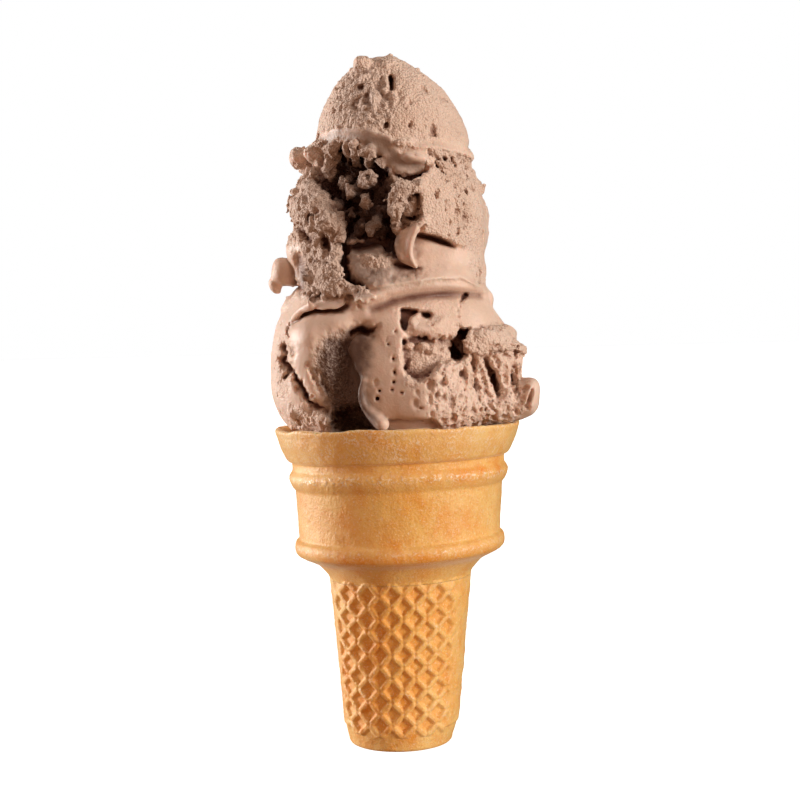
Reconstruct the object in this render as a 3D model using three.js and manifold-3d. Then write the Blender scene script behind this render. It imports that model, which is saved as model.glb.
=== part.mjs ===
// Ice cream cone: a moulded wafer cup on a latticed stem, with three scoops of chocolate
// ice cream pressed on top of each other.
//
// Millimetres, +Z up, origin in the middle of the flat foot that the wafer stands on.
// Front is -Y. Four solids: wafer_cone, scoop_bottom (with the plug that fills the wafer),
// scoop_middle and scoop_top.

import * as THREE from 'three';
import { mergeVertices } from 'three/addons/utils/BufferGeometryUtils.js';
import Module from 'manifold-3d';

const wasm = await Module();
wasm.setup();

// ---------------------------------------------------------------- driving dimensions

const GAP = 0.3;                  // air left between neighbouring solids

// wafer, outside
const FOOT_RADIUS = 11.0;         // flat that it stands on
const FOOT_EDGE = 0.8;            // rounding between the foot and its side
const FOOT_TOP_Z = 3.4;           // the plain foot band ends here, the lattice begins
const FOOT_TOP_RADIUS = 12.0;
const FOOT_STEP = 0.3;            // height of the step from the foot up to the stem
const STEM_BOTTOM_RADIUS = 12.65; // crest level of the lattice at FOOT_TOP_Z
const STEM_TOP_Z = 36.8;
const STEM_TOP_RADIUS = 15.65;
const COLLAR_TOP_Z = 42.2;        // the cove under the cup ends here
const COLLAR_TOP_RADIUS = 21.5;
const LIP_Z = 44.4;               // round edge at the bottom of the cup
const LIP_RADIUS = 23.2;
const LIP_ROUND = 1.5;
const LIP_FILLET = 1.0;
const BAND_BOTTOM_RADIUS = 22.35; // plain band of the cup
const BAND_TOP_RADIUS = 22.8;
const BEAD_Z = 60.0;              // round bead above the band
const BEAD_RADIUS = 24.2;
const BEAD_ROUND = 1.6;
const BEAD_FILLET = 0.8;
const FLARE_Z = 63.4;             // the rim's flare starts here
const FLARE_RADIUS = 23.7;
const RIM_Z = 70.7;
const RIM_RADIUS = 27.0;

// wafer, inside
const RIM_WALL = 1.9;
const CUP_WALL = 2.0;
const COLLAR_WALL = 2.6;
const STEM_WALL = 2.4;            // behind the lattice crests
const FLOOR = 3.0;
const FLOOR_EDGE = 1.2;           // bevel between the floor and the wall
const WAFER_SIDES = 32;

// lattice of square cells on their corners, alike on the front and the back mould half
const CELL_STEP_X = 2.6;          // half of the sideways pitch, seen square on
const CELL_STEP_Z = 2.62;         // half of the pitch upwards
const CELL_FIRST_Z = 6.2;
const CELL_ROWS = 12;
const CELL_COLUMNS = 5;           // to each side of the middle one
const CELL_OPENING = 1.72;        // half of the diagonal at the crests
const CELL_FLOOR = 0.95;          // half of the diagonal at the bottom of a cell
const CELL_DEPTH = 0.9;
const CELL_REACH = 0.5;           // how far the cutter stands out of the surface
const LATTICE_LIMIT = 0.86;       // outermost cell as a share of the stem's radius

// ice cream
const MIDDLE_Z = 100.6;           // where the bottom and the middle scoop meet on the axis
const MIDDLE_SLOPE = 0.08;        // rise of that joint towards +X
const TOP_Z = 129.0;
const TOP_SLOPE = -0.1;
const PEAK_Z = 151.4;
const RELIEF = 0.4;               // unevenness of the skin
const RELIEF_STEP = 4.2;          // distance from bump to bump
const MARCH_START = 48;           // further out than any ice cream
const MARCH_NEAR = 0.01;
const MARCH_PACE = 0.6;           // share of the distance that a step may go
const SKIN_PACE = 0.7;            // the same on the smooth masses
const CORE_RADIUS = 0.5;          // no point of a scoop's side comes nearer to its axis
const MARCH_STEPS = 400;
const SHOULDER_Z = 133.5;         // the top scoop's rings close over the peak from here

// rings of faces up each scoop, and faces round it
const BOTTOM_RINGS = 13;
const BOTTOM_SIDES = 56;
const MIDDLE_RINGS = 15;
const MIDDLE_SIDES = 52;
const TOP_RINGS = 4;
const CAP_RINGS = 9;
const TOP_SIDES = 48;
const KNOB_SIDES = 10;
const KNOB_RINGS = 6;

// ---------------------------------------------------------------- outlines

const point = (radius, z) => new THREE.Vector2(radius, z);

// Points of a round edge in the radius-height plane, from one angle to another in degrees.
function roundEdge(radius, z, size, from, to, steps) {
  const points = [];
  for (let i = 0; i <= steps; i += 1) {
    const angle = THREE.MathUtils.degToRad(from + ((to - from) * i) / steps);
    points.push(point(radius + size * Math.cos(angle), z + size * Math.sin(angle)));
  }
  return points;
}

// Points whose radius grows from start to end by a shape function of 0..1.
function sweepEdge(start, end, steps, shape) {
  const points = [];
  for (let i = 0; i <= steps; i += 1) {
    const share = i / steps;
    const radius = start.x + (end.x - start.x) * shape(share);
    points.push(point(radius, start.y + (end.y - start.y) * share));
  }
  return points;
}

const stemRadius = (z) => THREE.MathUtils.mapLinear(
  z, FOOT_TOP_Z, STEM_TOP_Z, STEM_BOTTOM_RADIUS, STEM_TOP_RADIUS);

const cove = (share) => share * share;
const flare = (share) => Math.sin((share * Math.PI) / 2);

function waferOutside() {
  return [
    point(0, 0),
    ...roundEdge(FOOT_RADIUS, FOOT_EDGE, FOOT_EDGE, -90, -10, 3),
    point(FOOT_TOP_RADIUS, FOOT_TOP_Z - FOOT_STEP),
    point(STEM_BOTTOM_RADIUS, FOOT_TOP_Z),
    ...sweepEdge(point(STEM_TOP_RADIUS, STEM_TOP_Z), point(COLLAR_TOP_RADIUS, COLLAR_TOP_Z), 4, cove),
    ...roundEdge(LIP_RADIUS - LIP_ROUND, LIP_Z, LIP_ROUND, -50, 50, 4),
    point(BAND_BOTTOM_RADIUS, LIP_Z + LIP_ROUND + LIP_FILLET),
    point(BAND_TOP_RADIUS, BEAD_Z - BEAD_ROUND - BEAD_FILLET),
    ...roundEdge(BEAD_RADIUS - BEAD_ROUND, BEAD_Z, BEAD_ROUND, -55, 50, 4),
    ...sweepEdge(point(FLARE_RADIUS, FLARE_Z), point(RIM_RADIUS, RIM_Z), 5, flare),
  ];
}

// Inside wall, from the rim down to the floor. Moved inwards by the gap it outlines the plug.
function waferInside(inset) {
  const rim = RIM_RADIUS - RIM_WALL - inset;
  const cup = BAND_BOTTOM_RADIUS - CUP_WALL - inset;
  const stemTop = STEM_TOP_RADIUS - STEM_WALL - inset;
  const stemFloor = stemRadius(FLOOR) - STEM_WALL - inset;
  return [
    point(rim, RIM_Z),
    point(FLARE_RADIUS - CUP_WALL - inset, FLARE_Z - 0.6),
    point(cup, LIP_Z + 2.0),
    point(COLLAR_TOP_RADIUS - COLLAR_WALL - inset, COLLAR_TOP_Z + 0.8),
    point(stemTop + 0.9, STEM_TOP_Z + 1.9),
    point(stemTop, STEM_TOP_Z - 1.5),
    point(stemFloor, FLOOR + FLOOR_EDGE + inset),
    point(stemFloor - FLOOR_EDGE, FLOOR + inset),
    point(0, FLOOR + inset),
  ];
}

// ---------------------------------------------------------------- solids

// A closed geometry as a solid that can be joined or cut.
function solid(geometry) {
  const bare = geometry.clone();
  bare.deleteAttribute('normal');
  bare.deleteAttribute('uv');
  const merged = mergeVertices(bare, 1e-4);
  const triVerts = [];
  const index = merged.index.array;
  for (let i = 0; i < index.length; i += 3) {
    const [a, b, c] = [index[i], index[i + 1], index[i + 2]];
    if (a !== b && b !== c && c !== a) triVerts.push(a, b, c);
  }
  return new wasm.Manifold(new wasm.Mesh({
    numProp: 3,
    vertProperties: Float32Array.from(merged.attributes.position.array),
    triVerts: Uint32Array.from(triVerts),
  }));
}

function geometryOf(manifold) {
  const mesh = manifold.getMesh();
  const geometry = new THREE.BufferGeometry();
  geometry.setAttribute('position', new THREE.BufferAttribute(mesh.vertProperties, 3));
  geometry.setIndex(new THREE.BufferAttribute(mesh.triVerts, 1));
  return geometry;
}

// Solid of revolution about the Z axis.
function turned(outline, sides) {
  return new THREE.LatheGeometry(outline, sides).rotateX(Math.PI / 2);
}

// ---------------------------------------------------------------- wafer

// Cutter for one lattice cell: a four-sided frustum whose axis points out of the stem.
function cellCutter(x, z, side) {
  const radius = stemRadius(z);
  const lean = Math.asin(x / radius);
  const slope = (CELL_OPENING - CELL_FLOOR) / CELL_DEPTH;
  const outer = CELL_OPENING + slope * CELL_REACH;
  const height = CELL_DEPTH + CELL_REACH;
  const cutter = new THREE.CylinderGeometry(outer, CELL_FLOOR, height, 4);
  cutter.scale(1 / Math.cos(lean), 1, 1);
  cutter.translate(0, radius - CELL_DEPTH + height / 2, 0);
  cutter.rotateZ(-lean);
  cutter.translate(0, 0, z);
  if (side === 'front') cutter.rotateZ(Math.PI);
  return solid(cutter);
}

function latticeCutters() {
  const cutters = [];
  for (const side of ['front', 'back']) {
    for (let row = -1; row < CELL_ROWS; row += 1) {
      const z = CELL_FIRST_Z + row * CELL_STEP_Z;
      const farthest = stemRadius(z) * LATTICE_LIMIT;
      for (let column = -CELL_COLUMNS; column <= CELL_COLUMNS; column += 1) {
        if ((row + column) % 2 === 0) continue;
        const x = THREE.MathUtils.clamp(column * CELL_STEP_X, -farthest, farthest);
        cutters.push(cellCutter(x, z, side));
      }
    }
  }
  return cutters;
}

function waferCone() {
  const outline = [...waferOutside(), ...waferInside(0)];
  let wafer = solid(turned(outline, WAFER_SIDES));
  for (const cutter of latticeCutters()) wafer = wafer.subtract(cutter);
  return geometryOf(wafer);
}

// ---------------------------------------------------------------- ice cream as a field
//
// The ice cream is a field of signed distance: below zero inside, above zero outside.
// Each feature below is a rounded body, and joins or cuts the field with a soft edge.

// Rounded body: round in plan, and upright with a fuller or a sharper shoulder by its power.
function roundedBody(p, at, size, power) {
  const x = (p.x - at.x) / size.x;
  const y = (p.y - at.y) / size.y;
  const z = Math.abs(p.z - at.z) / size.z;
  const plan = Math.hypot(x, y);
  const measure = (plan ** power + z ** power) ** (1 / power);
  return (measure - 1) * Math.min(size.x, size.y, size.z);
}

// Round bar from point to point.
function bar(p, path, radius) {
  let nearest = Infinity;
  const closest = new THREE.Vector3();
  for (let i = 1; i < path.length; i += 1) {
    new THREE.Line3(path[i - 1], path[i]).closestPointToPoint(p, true, closest);
    nearest = Math.min(nearest, closest.distanceTo(p));
  }
  return nearest - radius;
}

function softJoin(a, b, edge) {
  const share = THREE.MathUtils.clamp(0.5 + (0.5 * (b - a)) / edge, 0, 1);
  return THREE.MathUtils.lerp(b, a, share) - edge * share * (1 - share);
}

const softCut = (a, b, edge) => -softJoin(-a, b, edge);

// Smooth noise from -1 to 1 that repeats the same way on every run.
function noise(x, y, z) {
  const cell = [Math.floor(x), Math.floor(y), Math.floor(z)];
  const ease = [x - cell[0], y - cell[1], z - cell[2]].map((t) => t * t * (3 - 2 * t));
  let sum = 0;
  for (let corner = 0; corner < 8; corner += 1) {
    const step = [corner & 1, (corner >> 1) & 1, corner >> 2];
    const weight = step.reduce((w, s, i) => w * (s ? ease[i] : 1 - ease[i]), 1);
    const seed = (cell[0] + step[0]) * 127.1 + (cell[1] + step[1]) * 311.7 + (cell[2] + step[2]) * 74.7;
    const wave = Math.sin(seed) * 43758.5453;
    sum += weight * (wave - Math.floor(wave));
  }
  return 2 * sum - 1;
}

const at = (x, y, z) => new THREE.Vector3(x, y, z);

// Main masses: the wide bottom scoop, the upright middle one and the pointed top one. Below
// its middle a mass is as deep as its foot says, and upwards it leans by so much at its top.
const MASSES = [
  { at: at(-0.2, 0.3, 81.5), size: at(27.6, 26.6, 24.5), foot: 18, lean: -1.6, power: 2.4 },
  { at: at(-0.2, 0.2, 108), size: at(21.6, 21.0, 22.5), foot: 22.5, lean: 0, power: 4 },
  { at: at(0.3, 0.2, 131.3), size: at(17.2, 17, PEAK_Z - 131.3), foot: 20, lean: -2.5, power: 1.75 },
];
const MASS_EDGE = 3;

function massField(p) {
  let field = Infinity;
  for (const mass of MASSES) {
    const rise = (p.z - mass.at.z) / mass.size.z;
    const size = mass.size.clone().setZ(rise < 0 ? mass.foot : mass.size.z);
    const middle = mass.at.clone().setX(mass.at.x + mass.lean * Math.max(rise, 0) ** 2);
    const body = roundedBody(p, middle, size, mass.power);
    field = field === Infinity ? body : softJoin(field, body, MASS_EDGE);
  }
  return field;
}

// Where the masses' surface lies on a ray from the axis, at a bearing in degrees from the
// front (positive towards +X) and a height.
function surfaceRadius(field, bearing, z) {
  const angle = THREE.MathUtils.degToRad(bearing);
  const p = at(0, 0, z);
  let radius = MARCH_START;
  for (let i = 0; i < MARCH_STEPS; i += 1) {
    p.set(radius * Math.sin(angle), -radius * Math.cos(angle), z);
    const distance = field(p);
    if (distance < MARCH_NEAR || radius <= 0) break;
    radius -= Math.max(distance * SKIN_PACE, MARCH_NEAR);
  }
  return Math.max(radius, 0);
}

// A point on that surface, moved outwards by a lift in millimetres.
function onSkin(bearing, z, lift) {
  const angle = THREE.MathUtils.degToRad(bearing);
  const radius = surfaceRadius(massField, bearing, z) + lift;
  return at(radius * Math.sin(angle), -radius * Math.cos(angle), z);
}

const skinPath = (stops) => stops.map(([bearing, z, lift]) => onSkin(bearing, z, lift));

// Lumps and ledges that stand out: bearing, height, lift, size across, in depth and upwards.
const LUMPS = [
  // the block of the bottom scoop that hangs out over the rim, in two steps
  { skin: [68, 76.2, -6.2], size: at(10, 12.5, 5.4), power: 3, edge: 1.2 },
  { skin: [60, 84.8, -8.4], size: at(11.2, 12, 6.0), power: 3, edge: 1.2 },
  { skin: [22, 77.5, -4.4], size: at(9, 5.6, 5.5), power: 3, edge: 1.5 },
  // swell of the dome left of the front, and the crumbly mound at its foot
  { skin: [-44, 86, -9.2], size: at(11, 10.4, 11), power: 2.4, edge: 2.5 },
  { skin: [-40, 73.5, -2.6], size: at(5, 3.4, 2.4), power: 2.2, edge: 1 },
  // middle scoop: rough lump, its neighbours and the granular face on the right
  { skin: [-46, 117, -3.6], size: at(6.2, 5, 5.4), power: 2.2, edge: 1.2 },
  { skin: [-4, 117.5, -2.2], size: at(2.8, 3, 4.8), power: 2, edge: 0.8 },
  { skin: [-15, 123.2, -1.4], size: at(2.4, 2.4, 2.4), power: 2, edge: 0.6 },
  { skin: [-29, 122.3, -2.2], size: at(2.6, 2.8, 2.6), power: 2, edge: 0.8 },
  { skin: [38, 116.5, -6.0], size: at(12, 7.4, 8.2), power: 3, edge: 1.5 },
  { skin: [-35, 104.5, -2.6], size: at(5.2, 3.6, 6.0), power: 2.6, edge: 1.2 },
  // skirt below the top scoop's edge, and the chunk at its right
  { skin: [40, 127.8, -2.6], size: at(6.4, 4, 2.6), power: 2.4, edge: 1 },
  { skin: [120, 127.6, -2.4], size: at(8.4, 4, 2.8), power: 2.4, edge: 1 },
  { skin: [-150, 128.2, -2.4], size: at(8, 4, 2.8), power: 2.4, edge: 1 },
  // lumps on the sides and the back
  { skin: [150, 117, -3.4], size: at(7, 5.4, 6), power: 2.2, edge: 1.5 },
  { skin: [-125, 113, -3.4], size: at(6.2, 5, 7), power: 2.2, edge: 1.5 },
  { skin: [-160, 86, -6.4], size: at(11, 8, 9), power: 2.4, edge: 2.5 },
  { skin: [130, 82, -5.6], size: at(10, 7.6, 8), power: 2.6, edge: 2 },
  { skin: [-112, 77, -5.4], size: at(6, 7, 4.6), power: 2.4, edge: 1.5 },
  { skin: [-84, 109.5, -2.4], size: at(5, 4.2, 4.4), power: 2.2, edge: 1.4 },
  { skin: [-74, 117.6, -2.6], size: at(4.6, 4.0, 3.0), power: 2.2, edge: 1.2 },
];

// Hollows: bearing, height, lift and size.
const HOLLOWS = [
  // deep hollow and trough of the middle scoop, and the one right of its rough cluster
  { skin: [-20, 113.2, 0.4], size: at(4.4, 5.4, 4.4), edge: 1 },
  { skin: [-31, 119.4, 1.0], size: at(3.6, 3.8, 2.6), edge: 1 },
  { skin: [-14, 119.8, 0.8], size: at(4.0, 3.8, 2.4), edge: 1 },
  { skin: [12, 123.4, 0.8], size: at(2.8, 3.0, 1.9), edge: 0.8 },
  { skin: [-33, 126.0, 1.0], size: at(5.4, 3.2, 1.7), edge: 0.8 },
  // smooth facet under the granular face, and the recess round the dark mound
  { skin: [24, 107.4, 2.2], size: at(7.4, 3.8, 3.5), edge: 0.9 },
  { skin: [-15, 105.2, 2.2], size: at(5.6, 3.8, 4.6), edge: 0.9 },
  // bottom scoop: holes, bowl and dark cavity in front, notch and groove at the left
  { skin: [6, 94.0, 0.2], size: at(1.7, 2.8, 2.4), edge: 0.5 },
  { skin: [13, 86.4, 0.8], size: at(4.8, 3.4, 4.2), edge: 0.9 },
  { skin: [30, 87.6, 0.8], size: at(2.0, 4.4, 2.6), edge: 0.7 },
  { skin: [-27, 78.0, 0.9], size: at(5.2, 3.6, 5.6), edge: 1.2 },
  { skin: [-66, 85.4, 0.4], size: at(2.6, 2.2, 2.6), edge: 0.6 },
  { skin: [-56, 77.6, 0.4], size: at(4.2, 2.2, 1.7), edge: 0.8 },
  // seams between the scoops' edges on the sides and the back
  { skin: [165, 104.8, 1.0], size: at(9, 3.2, 2.2), edge: 1 },
  { skin: [-130, 104.0, 1.0], size: at(6, 3.2, 2.0), edge: 1 },
  { skin: [92, 107.6, 2.6], size: at(5, 4.6, 2.4), edge: 1 },
  { skin: [86, 94.8, 5.8], size: at(9, 8.4, 4.8), edge: 1.6 },
  { skin: [-95, 122.4, 1.0], size: at(3, 4.6, 2.4), edge: 1 },
  { skin: [175, 123.2, 1.0], size: at(7.4, 3, 1.8), edge: 1 },
  { skin: [155, 76.0, 0.8], size: at(5, 3, 3.4), edge: 1 },
];

// Rolled edges, dragged lips and the drip: stops along each, bearing, height and lift.
const BARS = [
  // the roll between the bottom and the middle scoop, and the light lip above it
  {
    radius: 2.1,
    edge: 1.6,
    stops: [[-42, 97.2, -0.6], [-12, 98.8, 0.3], [14, 100.2, 0.5], [44, 99.6, 0.2], [72, 98.4, -1.6]],
  },
  { radius: 1.5, edge: 1.2, stops: [[-2, 101.9, -0.2], [26, 103.6, 0], [50, 102.6, -0.4]] },
  // the curl
  { radius: 1.3, edge: 0.9, stops: [[15, 116, 0.2], [5, 110.6, 0.8], [6, 107, 0.8], [11, 105, 0.6]] },
  // the long flap's wavy edge and the drip at its end
  {
    radius: 1.4,
    edge: 0.8,
    stops: [[-20, 90, -0.3], [-23, 86, -0.1], [-17, 80.6, -0.1], [-17, 76, 0.2], [-8, 72.6, 0.6]],
  },
  // the skirt of the top scoop
  {
    radius: 1.3,
    edge: 1.0,
    stops: [[-58, 134.4, -0.2], [-28, 132.6, 0.1], [-8, 128.8, 0.3], [12, 125.6, 0.2], [34, 126.4, 0]],
  },
  // the shelf on the right
  { radius: 1.6, edge: 1.2, stops: [[84, 90.4, -0.6], [60, 90.2, 0.2], [46, 89.6, 0.4]] },
  // the roll and the skirt on the way round the back
  {
    radius: 2.0,
    edge: 1.6,
    stops: [[100, 97.6, -1.4], [135, 99.4, 0.1], [178, 98.2, 0.2], [220, 99.6, 0.1], [286, 97.4, -0.2]],
  },
  {
    radius: 1.3,
    edge: 1.0,
    stops: [[70, 128.6, 0], [110, 130.4, 0.1], [170, 131.2, 0.1], [230, 130.2, 0.1], [296, 132.6, 0]],
  },
];

const FEATURES = {
  lumps: LUMPS.map((lump) => ({ ...lump, at: onSkin(...lump.skin) })),
  hollows: HOLLOWS.map((hollow) => ({ ...hollow, at: onSkin(...hollow.skin) })),
  bars: BARS.map((item) => ({ ...item, path: skinPath(item.stops) })),
};

// The same body, turned so that its depth lies along the ray from the axis.
function turnedBody(p, feature, power) {
  const bearing = Math.atan2(feature.at.x, -feature.at.y);
  const offset = p.clone().sub(feature.at).applyAxisAngle(new THREE.Vector3(0, 0, 1), -bearing);
  return roundedBody(offset.add(feature.at), feature.at, feature.size, power);
}

function iceField(p) {
  let field = massField(p);
  for (const lump of FEATURES.lumps) {
    field = softJoin(field, turnedBody(p, lump, lump.power), lump.edge);
  }
  for (const hollow of FEATURES.hollows) {
    field = softCut(field, turnedBody(p, hollow, 2), hollow.edge);
  }
  for (const item of FEATURES.bars) {
    field = softJoin(field, bar(p, item.path, item.radius), item.edge);
  }
  return field + RELIEF * noise(p.x / RELIEF_STEP, p.y / RELIEF_STEP, p.z / RELIEF_STEP);
}

// ---------------------------------------------------------------- scoops

// Outermost ice cream on the ray that leaves an anchor on the axis.
function march(anchor, direction) {
  const p = new THREE.Vector3();
  let reach = MARCH_START;
  for (let i = 0; i < MARCH_STEPS; i += 1) {
    p.copy(anchor).addScaledVector(direction, reach);
    const distance = iceField(p);
    if (distance < MARCH_NEAR || reach <= 0) break;
    reach -= Math.max(distance * MARCH_PACE, MARCH_NEAR);
  }
  return p.copy(anchor).addScaledVector(direction, Math.max(reach, CORE_RADIUS));
}

// A joint plane: its height on the axis and its rise towards +X.
const plane = (z, slope) => ({ z, slope });

// One scoop between two planes: rings of points marched out to the ice cream's surface. The
// outline of its underside runs from the axis outwards and stays as it is.
function slabScoop(underside, low, high, rings, sides) {
  const outline = [...underside];
  for (let ring = 0; ring <= rings; ring += 1) outline.push(point(1, ring));
  outline.push(point(0, high.z));
  const geometry = turned(outline, sides);
  const positions = geometry.attributes.position;
  for (let i = 0; i < positions.count; i += 1) {
    const ring = (i % outline.length) - underside.length;
    if (ring < 0 || ring > rings) continue;
    const z = THREE.MathUtils.lerp(low.z, high.z, ring / rings);
    const slope = THREE.MathUtils.lerp(low.slope, high.slope, ring / rings);
    const angle = Math.atan2(positions.getY(i), positions.getX(i));
    const direction = at(Math.cos(angle), Math.sin(angle), slope * Math.cos(angle));
    const spot = march(at(0, 0, z), direction.normalize());
    positions.setXYZ(i, spot.x, spot.y, spot.z);
  }
  return solid(geometry);
}

// The top scoop: upright rings up to its shoulder, then rings that close over the peak.
function peakScoop(low, shoulder, rings, capRings, sides) {
  const outline = [point(0, 0)];
  for (let ring = 0; ring < rings; ring += 1) outline.push(point(1, ring / rings));
  outline.push(...roundEdge(0, 1, 1, 0, 90, capRings));
  const geometry = turned(outline, sides);
  const positions = geometry.attributes.position;
  for (let i = 0; i < positions.count; i += 1) {
    const share = Math.min(positions.getZ(i), 1);
    const rise = Math.max(positions.getZ(i) - 1, 0);
    const plan = Math.hypot(positions.getX(i), positions.getY(i));
    const angle = Math.atan2(positions.getY(i), positions.getX(i));
    const slope = THREE.MathUtils.lerp(low.slope, 0, share);
    const spot = at(0, 0, THREE.MathUtils.lerp(low.z, shoulder, share));
    if (rise > 0 || plan > 0.5) {
      const across = Math.max(plan, 1e-6);
      const direction = at(across * Math.cos(angle), across * Math.sin(angle), rise);
      direction.z += slope * Math.cos(angle);
      spot.copy(march(spot, direction.normalize()));
    }
    positions.setXYZ(i, spot.x, spot.y, spot.z);
  }
  return solid(geometry);
}

// A loose knob or flake pressed into a scoop: a squashed sphere.
function knob(spot, size, turn) {
  const geometry = new THREE.SphereGeometry(1, KNOB_SIDES, KNOB_RINGS);
  geometry.scale(size.x, size.y, size.z);
  geometry.rotateY(THREE.MathUtils.degToRad(turn));
  geometry.translate(spot.x, spot.y, spot.z);
  return solid(geometry);
}

// The bottom scoop, with the plug that fills the wafer down to its floor.
function scoopBottom() {
  const plug = waferInside(GAP).reverse();
  plug[plug.length - 1].y = RIM_Z + GAP;
  return geometryOf(slabScoop(
    plug,
    plane(RIM_Z + GAP, 0),
    plane(MIDDLE_Z - GAP / 2, MIDDLE_SLOPE),
    BOTTOM_RINGS,
    BOTTOM_SIDES,
  ));
}

function scoopMiddle() {
  const low = plane(MIDDLE_Z + GAP / 2, MIDDLE_SLOPE);
  const high = plane(TOP_Z - GAP / 2, TOP_SLOPE);
  const body = slabScoop([point(0, low.z)], low, high, MIDDLE_RINGS, MIDDLE_SIDES);
  const knobs = [
    knob(at(-18.5, -6.8, 129.5), at(4.4, 2.3, 2.2), 24),
    knob(at(-23.2, -3.2, 105.4), at(2.8, 4.4, 3.0), 10),
    knob(at(-25.6, -3.4, 103.2), at(1.7, 2.4, 3.0), 35),
    knob(at(18.4, -6.8, 122.4), at(2.6, 2.6, 2.4), 0),
  ];
  return geometryOf(knobs.reduce((whole, piece) => whole.add(piece), body));
}

function scoopTop() {
  const low = plane(TOP_Z + GAP / 2, TOP_SLOPE);
  const body = peakScoop(low, SHOULDER_Z, TOP_RINGS, CAP_RINGS, TOP_SIDES);
  return geometryOf(body.add(knob(at(-5.9, -0.8, 148.9), at(2.3, 2.2, 1.9), 10)));
}

// ---------------------------------------------------------------- finishes and assembly

const wafer = new THREE.MeshStandardMaterial({ color: '#d9953f', roughness: 0.75, metalness: 0 });
const iceCream = new THREE.MeshStandardMaterial({ color: '#b18a72', roughness: 0.6, metalness: 0 });

function piece(name, geometry, material) {
  const mesh = new THREE.Mesh(geometry, material);
  mesh.name = name;
  return mesh;
}

const group = new THREE.Group();
group.add(piece('wafer_cone', waferCone(), wafer));
group.add(piece('scoop_bottom', scoopBottom(), iceCream));
group.add(piece('scoop_middle', scoopMiddle(), iceCream));
group.add(piece('scoop_top', scoopTop(), iceCream));

export default group;
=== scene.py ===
"""Looks of an ice cream cone: a moulded wafer cup that carries three scoops of ice cream.

Shapes are worked out in millimetres in the part's own frame: +Z up, the front at -Y, the origin
in the middle of the foot. They turn into metres when a mesh is made.
"""

import logging
import math
from collections.abc import Iterable, Sequence
from dataclasses import dataclass, field
from enum import Enum
from typing import Any, ClassVar

import bpy
import numpy as np
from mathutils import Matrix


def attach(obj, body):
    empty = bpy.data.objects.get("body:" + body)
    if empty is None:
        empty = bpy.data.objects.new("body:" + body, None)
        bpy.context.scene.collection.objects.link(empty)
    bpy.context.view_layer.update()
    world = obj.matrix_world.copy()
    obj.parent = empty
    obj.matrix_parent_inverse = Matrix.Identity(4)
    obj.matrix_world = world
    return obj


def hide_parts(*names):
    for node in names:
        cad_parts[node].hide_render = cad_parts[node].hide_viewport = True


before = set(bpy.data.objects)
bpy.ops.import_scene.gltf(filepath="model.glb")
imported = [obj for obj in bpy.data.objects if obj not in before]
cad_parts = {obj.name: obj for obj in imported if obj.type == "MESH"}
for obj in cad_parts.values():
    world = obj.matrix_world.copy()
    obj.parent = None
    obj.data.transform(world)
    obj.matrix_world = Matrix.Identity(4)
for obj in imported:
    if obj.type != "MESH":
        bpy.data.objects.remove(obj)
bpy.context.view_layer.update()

import openvdb
from mathutils import Euler, Matrix, Vector

log = logging.getLogger("ice_cream_cone")

MM = 0.001
PAIR = tuple[float, float]
SPOT = tuple[float, float, float]
ARRAY = np.ndarray


# ---------------------------------------------------------------- small helpers


def linear(colour: str) -> tuple[float, float, float, float]:
    """Turns an sRGB hex colour into linear light.

    Args:
        colour: Colour written as #rrggbb.

    Returns:
        Red, green, blue and an alpha of one.
    """
    channels = [int(colour[i : i + 2], 16) / 255 for i in (1, 3, 5)]
    light = [c / 12.92 if c <= 0.04045 else ((c + 0.055) / 1.055) ** 2.4 for c in channels]
    return (light[0], light[1], light[2], 1.0)


def add_node(
    tree: bpy.types.NodeTree, kind: str, settings: dict[str, Any] | None = None,
    values: dict[Any, Any] | None = None, links: dict[Any, bpy.types.NodeSocket] | None = None
) -> bpy.types.Node:
    """Adds a node to a tree.

    Args:
        tree: Node tree that gets the node.
        kind: Blender's name of the node type.
        settings: Properties of the node, by name.
        values: Input values, by socket name or index.
        links: Sockets that feed its inputs, by socket name or index.

    Returns:
        The new node.
    """
    node = tree.nodes.new(kind)
    for name, value in (settings or {}).items():
        setattr(node, name, value)
    for name, value in (values or {}).items():
        node.inputs[name].default_value = value
    for name, socket in (links or {}).items():
        tree.links.new(socket, node.inputs[name])
    return node


def set_ramp(node: bpy.types.Node, stops: Sequence[tuple[float, str]]) -> None:
    """Gives a colour ramp its stops.

    Args:
        node: The colour ramp node.
        stops: Position and sRGB colour of each stop, in order.
    """
    elements = node.color_ramp.elements
    while len(elements) < len(stops):
        elements.new(0.5)
    for element, (position, colour) in zip(elements, stops, strict=True):
        element.position = position
        element.color = linear(colour)


def ease(low: float, high: float, value: ARRAY) -> ARRAY:
    """Rises smoothly from 0 to 1 while the value goes from low to high."""
    share = np.clip((value - low) / (high - low), 0, 1)
    return share * share * (3 - 2 * share)


def soft_join(a: ARRAY, b: ARRAY, edge: float) -> ARRAY:
    """Joins two distance fields with a fillet of about the given edge in millimetres."""
    share = np.clip(0.5 + 0.5 * (b - a) / edge, 0, 1)
    return b + (a - b) * share - edge * share * (1 - share)


def curve_through(stops: Sequence[Sequence[float]], closed: bool = False, steps: int = 5) -> ARRAY:
    """Draws a smooth curve through a few points.

    Args:
        stops: Points of two or more numbers each.
        closed: Whether the curve runs back to its first point.
        steps: Pieces between two neighbouring points.

    Returns:
        The points of the curve, one a row.
    """
    given = np.asarray(stops, dtype=np.float64)
    count = len(given)
    rows = []
    for i in range(count if closed else count - 1):
        near = np.arange(i - 1, i + 3)
        a, b, c, d = given[near % count if closed else np.clip(near, 0, count - 1)]
        bend, twist = 2 * a - 5 * b + 4 * c - d, 3 * b - a - 3 * c + d
        for step in range(steps):
            t = step / steps
            rows.append(0.5 * (2 * b + (c - a) * t + bend * t**2 + twist * t**3))
    if not closed:
        rows.append(given[-1])
    return np.array(rows)


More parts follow.
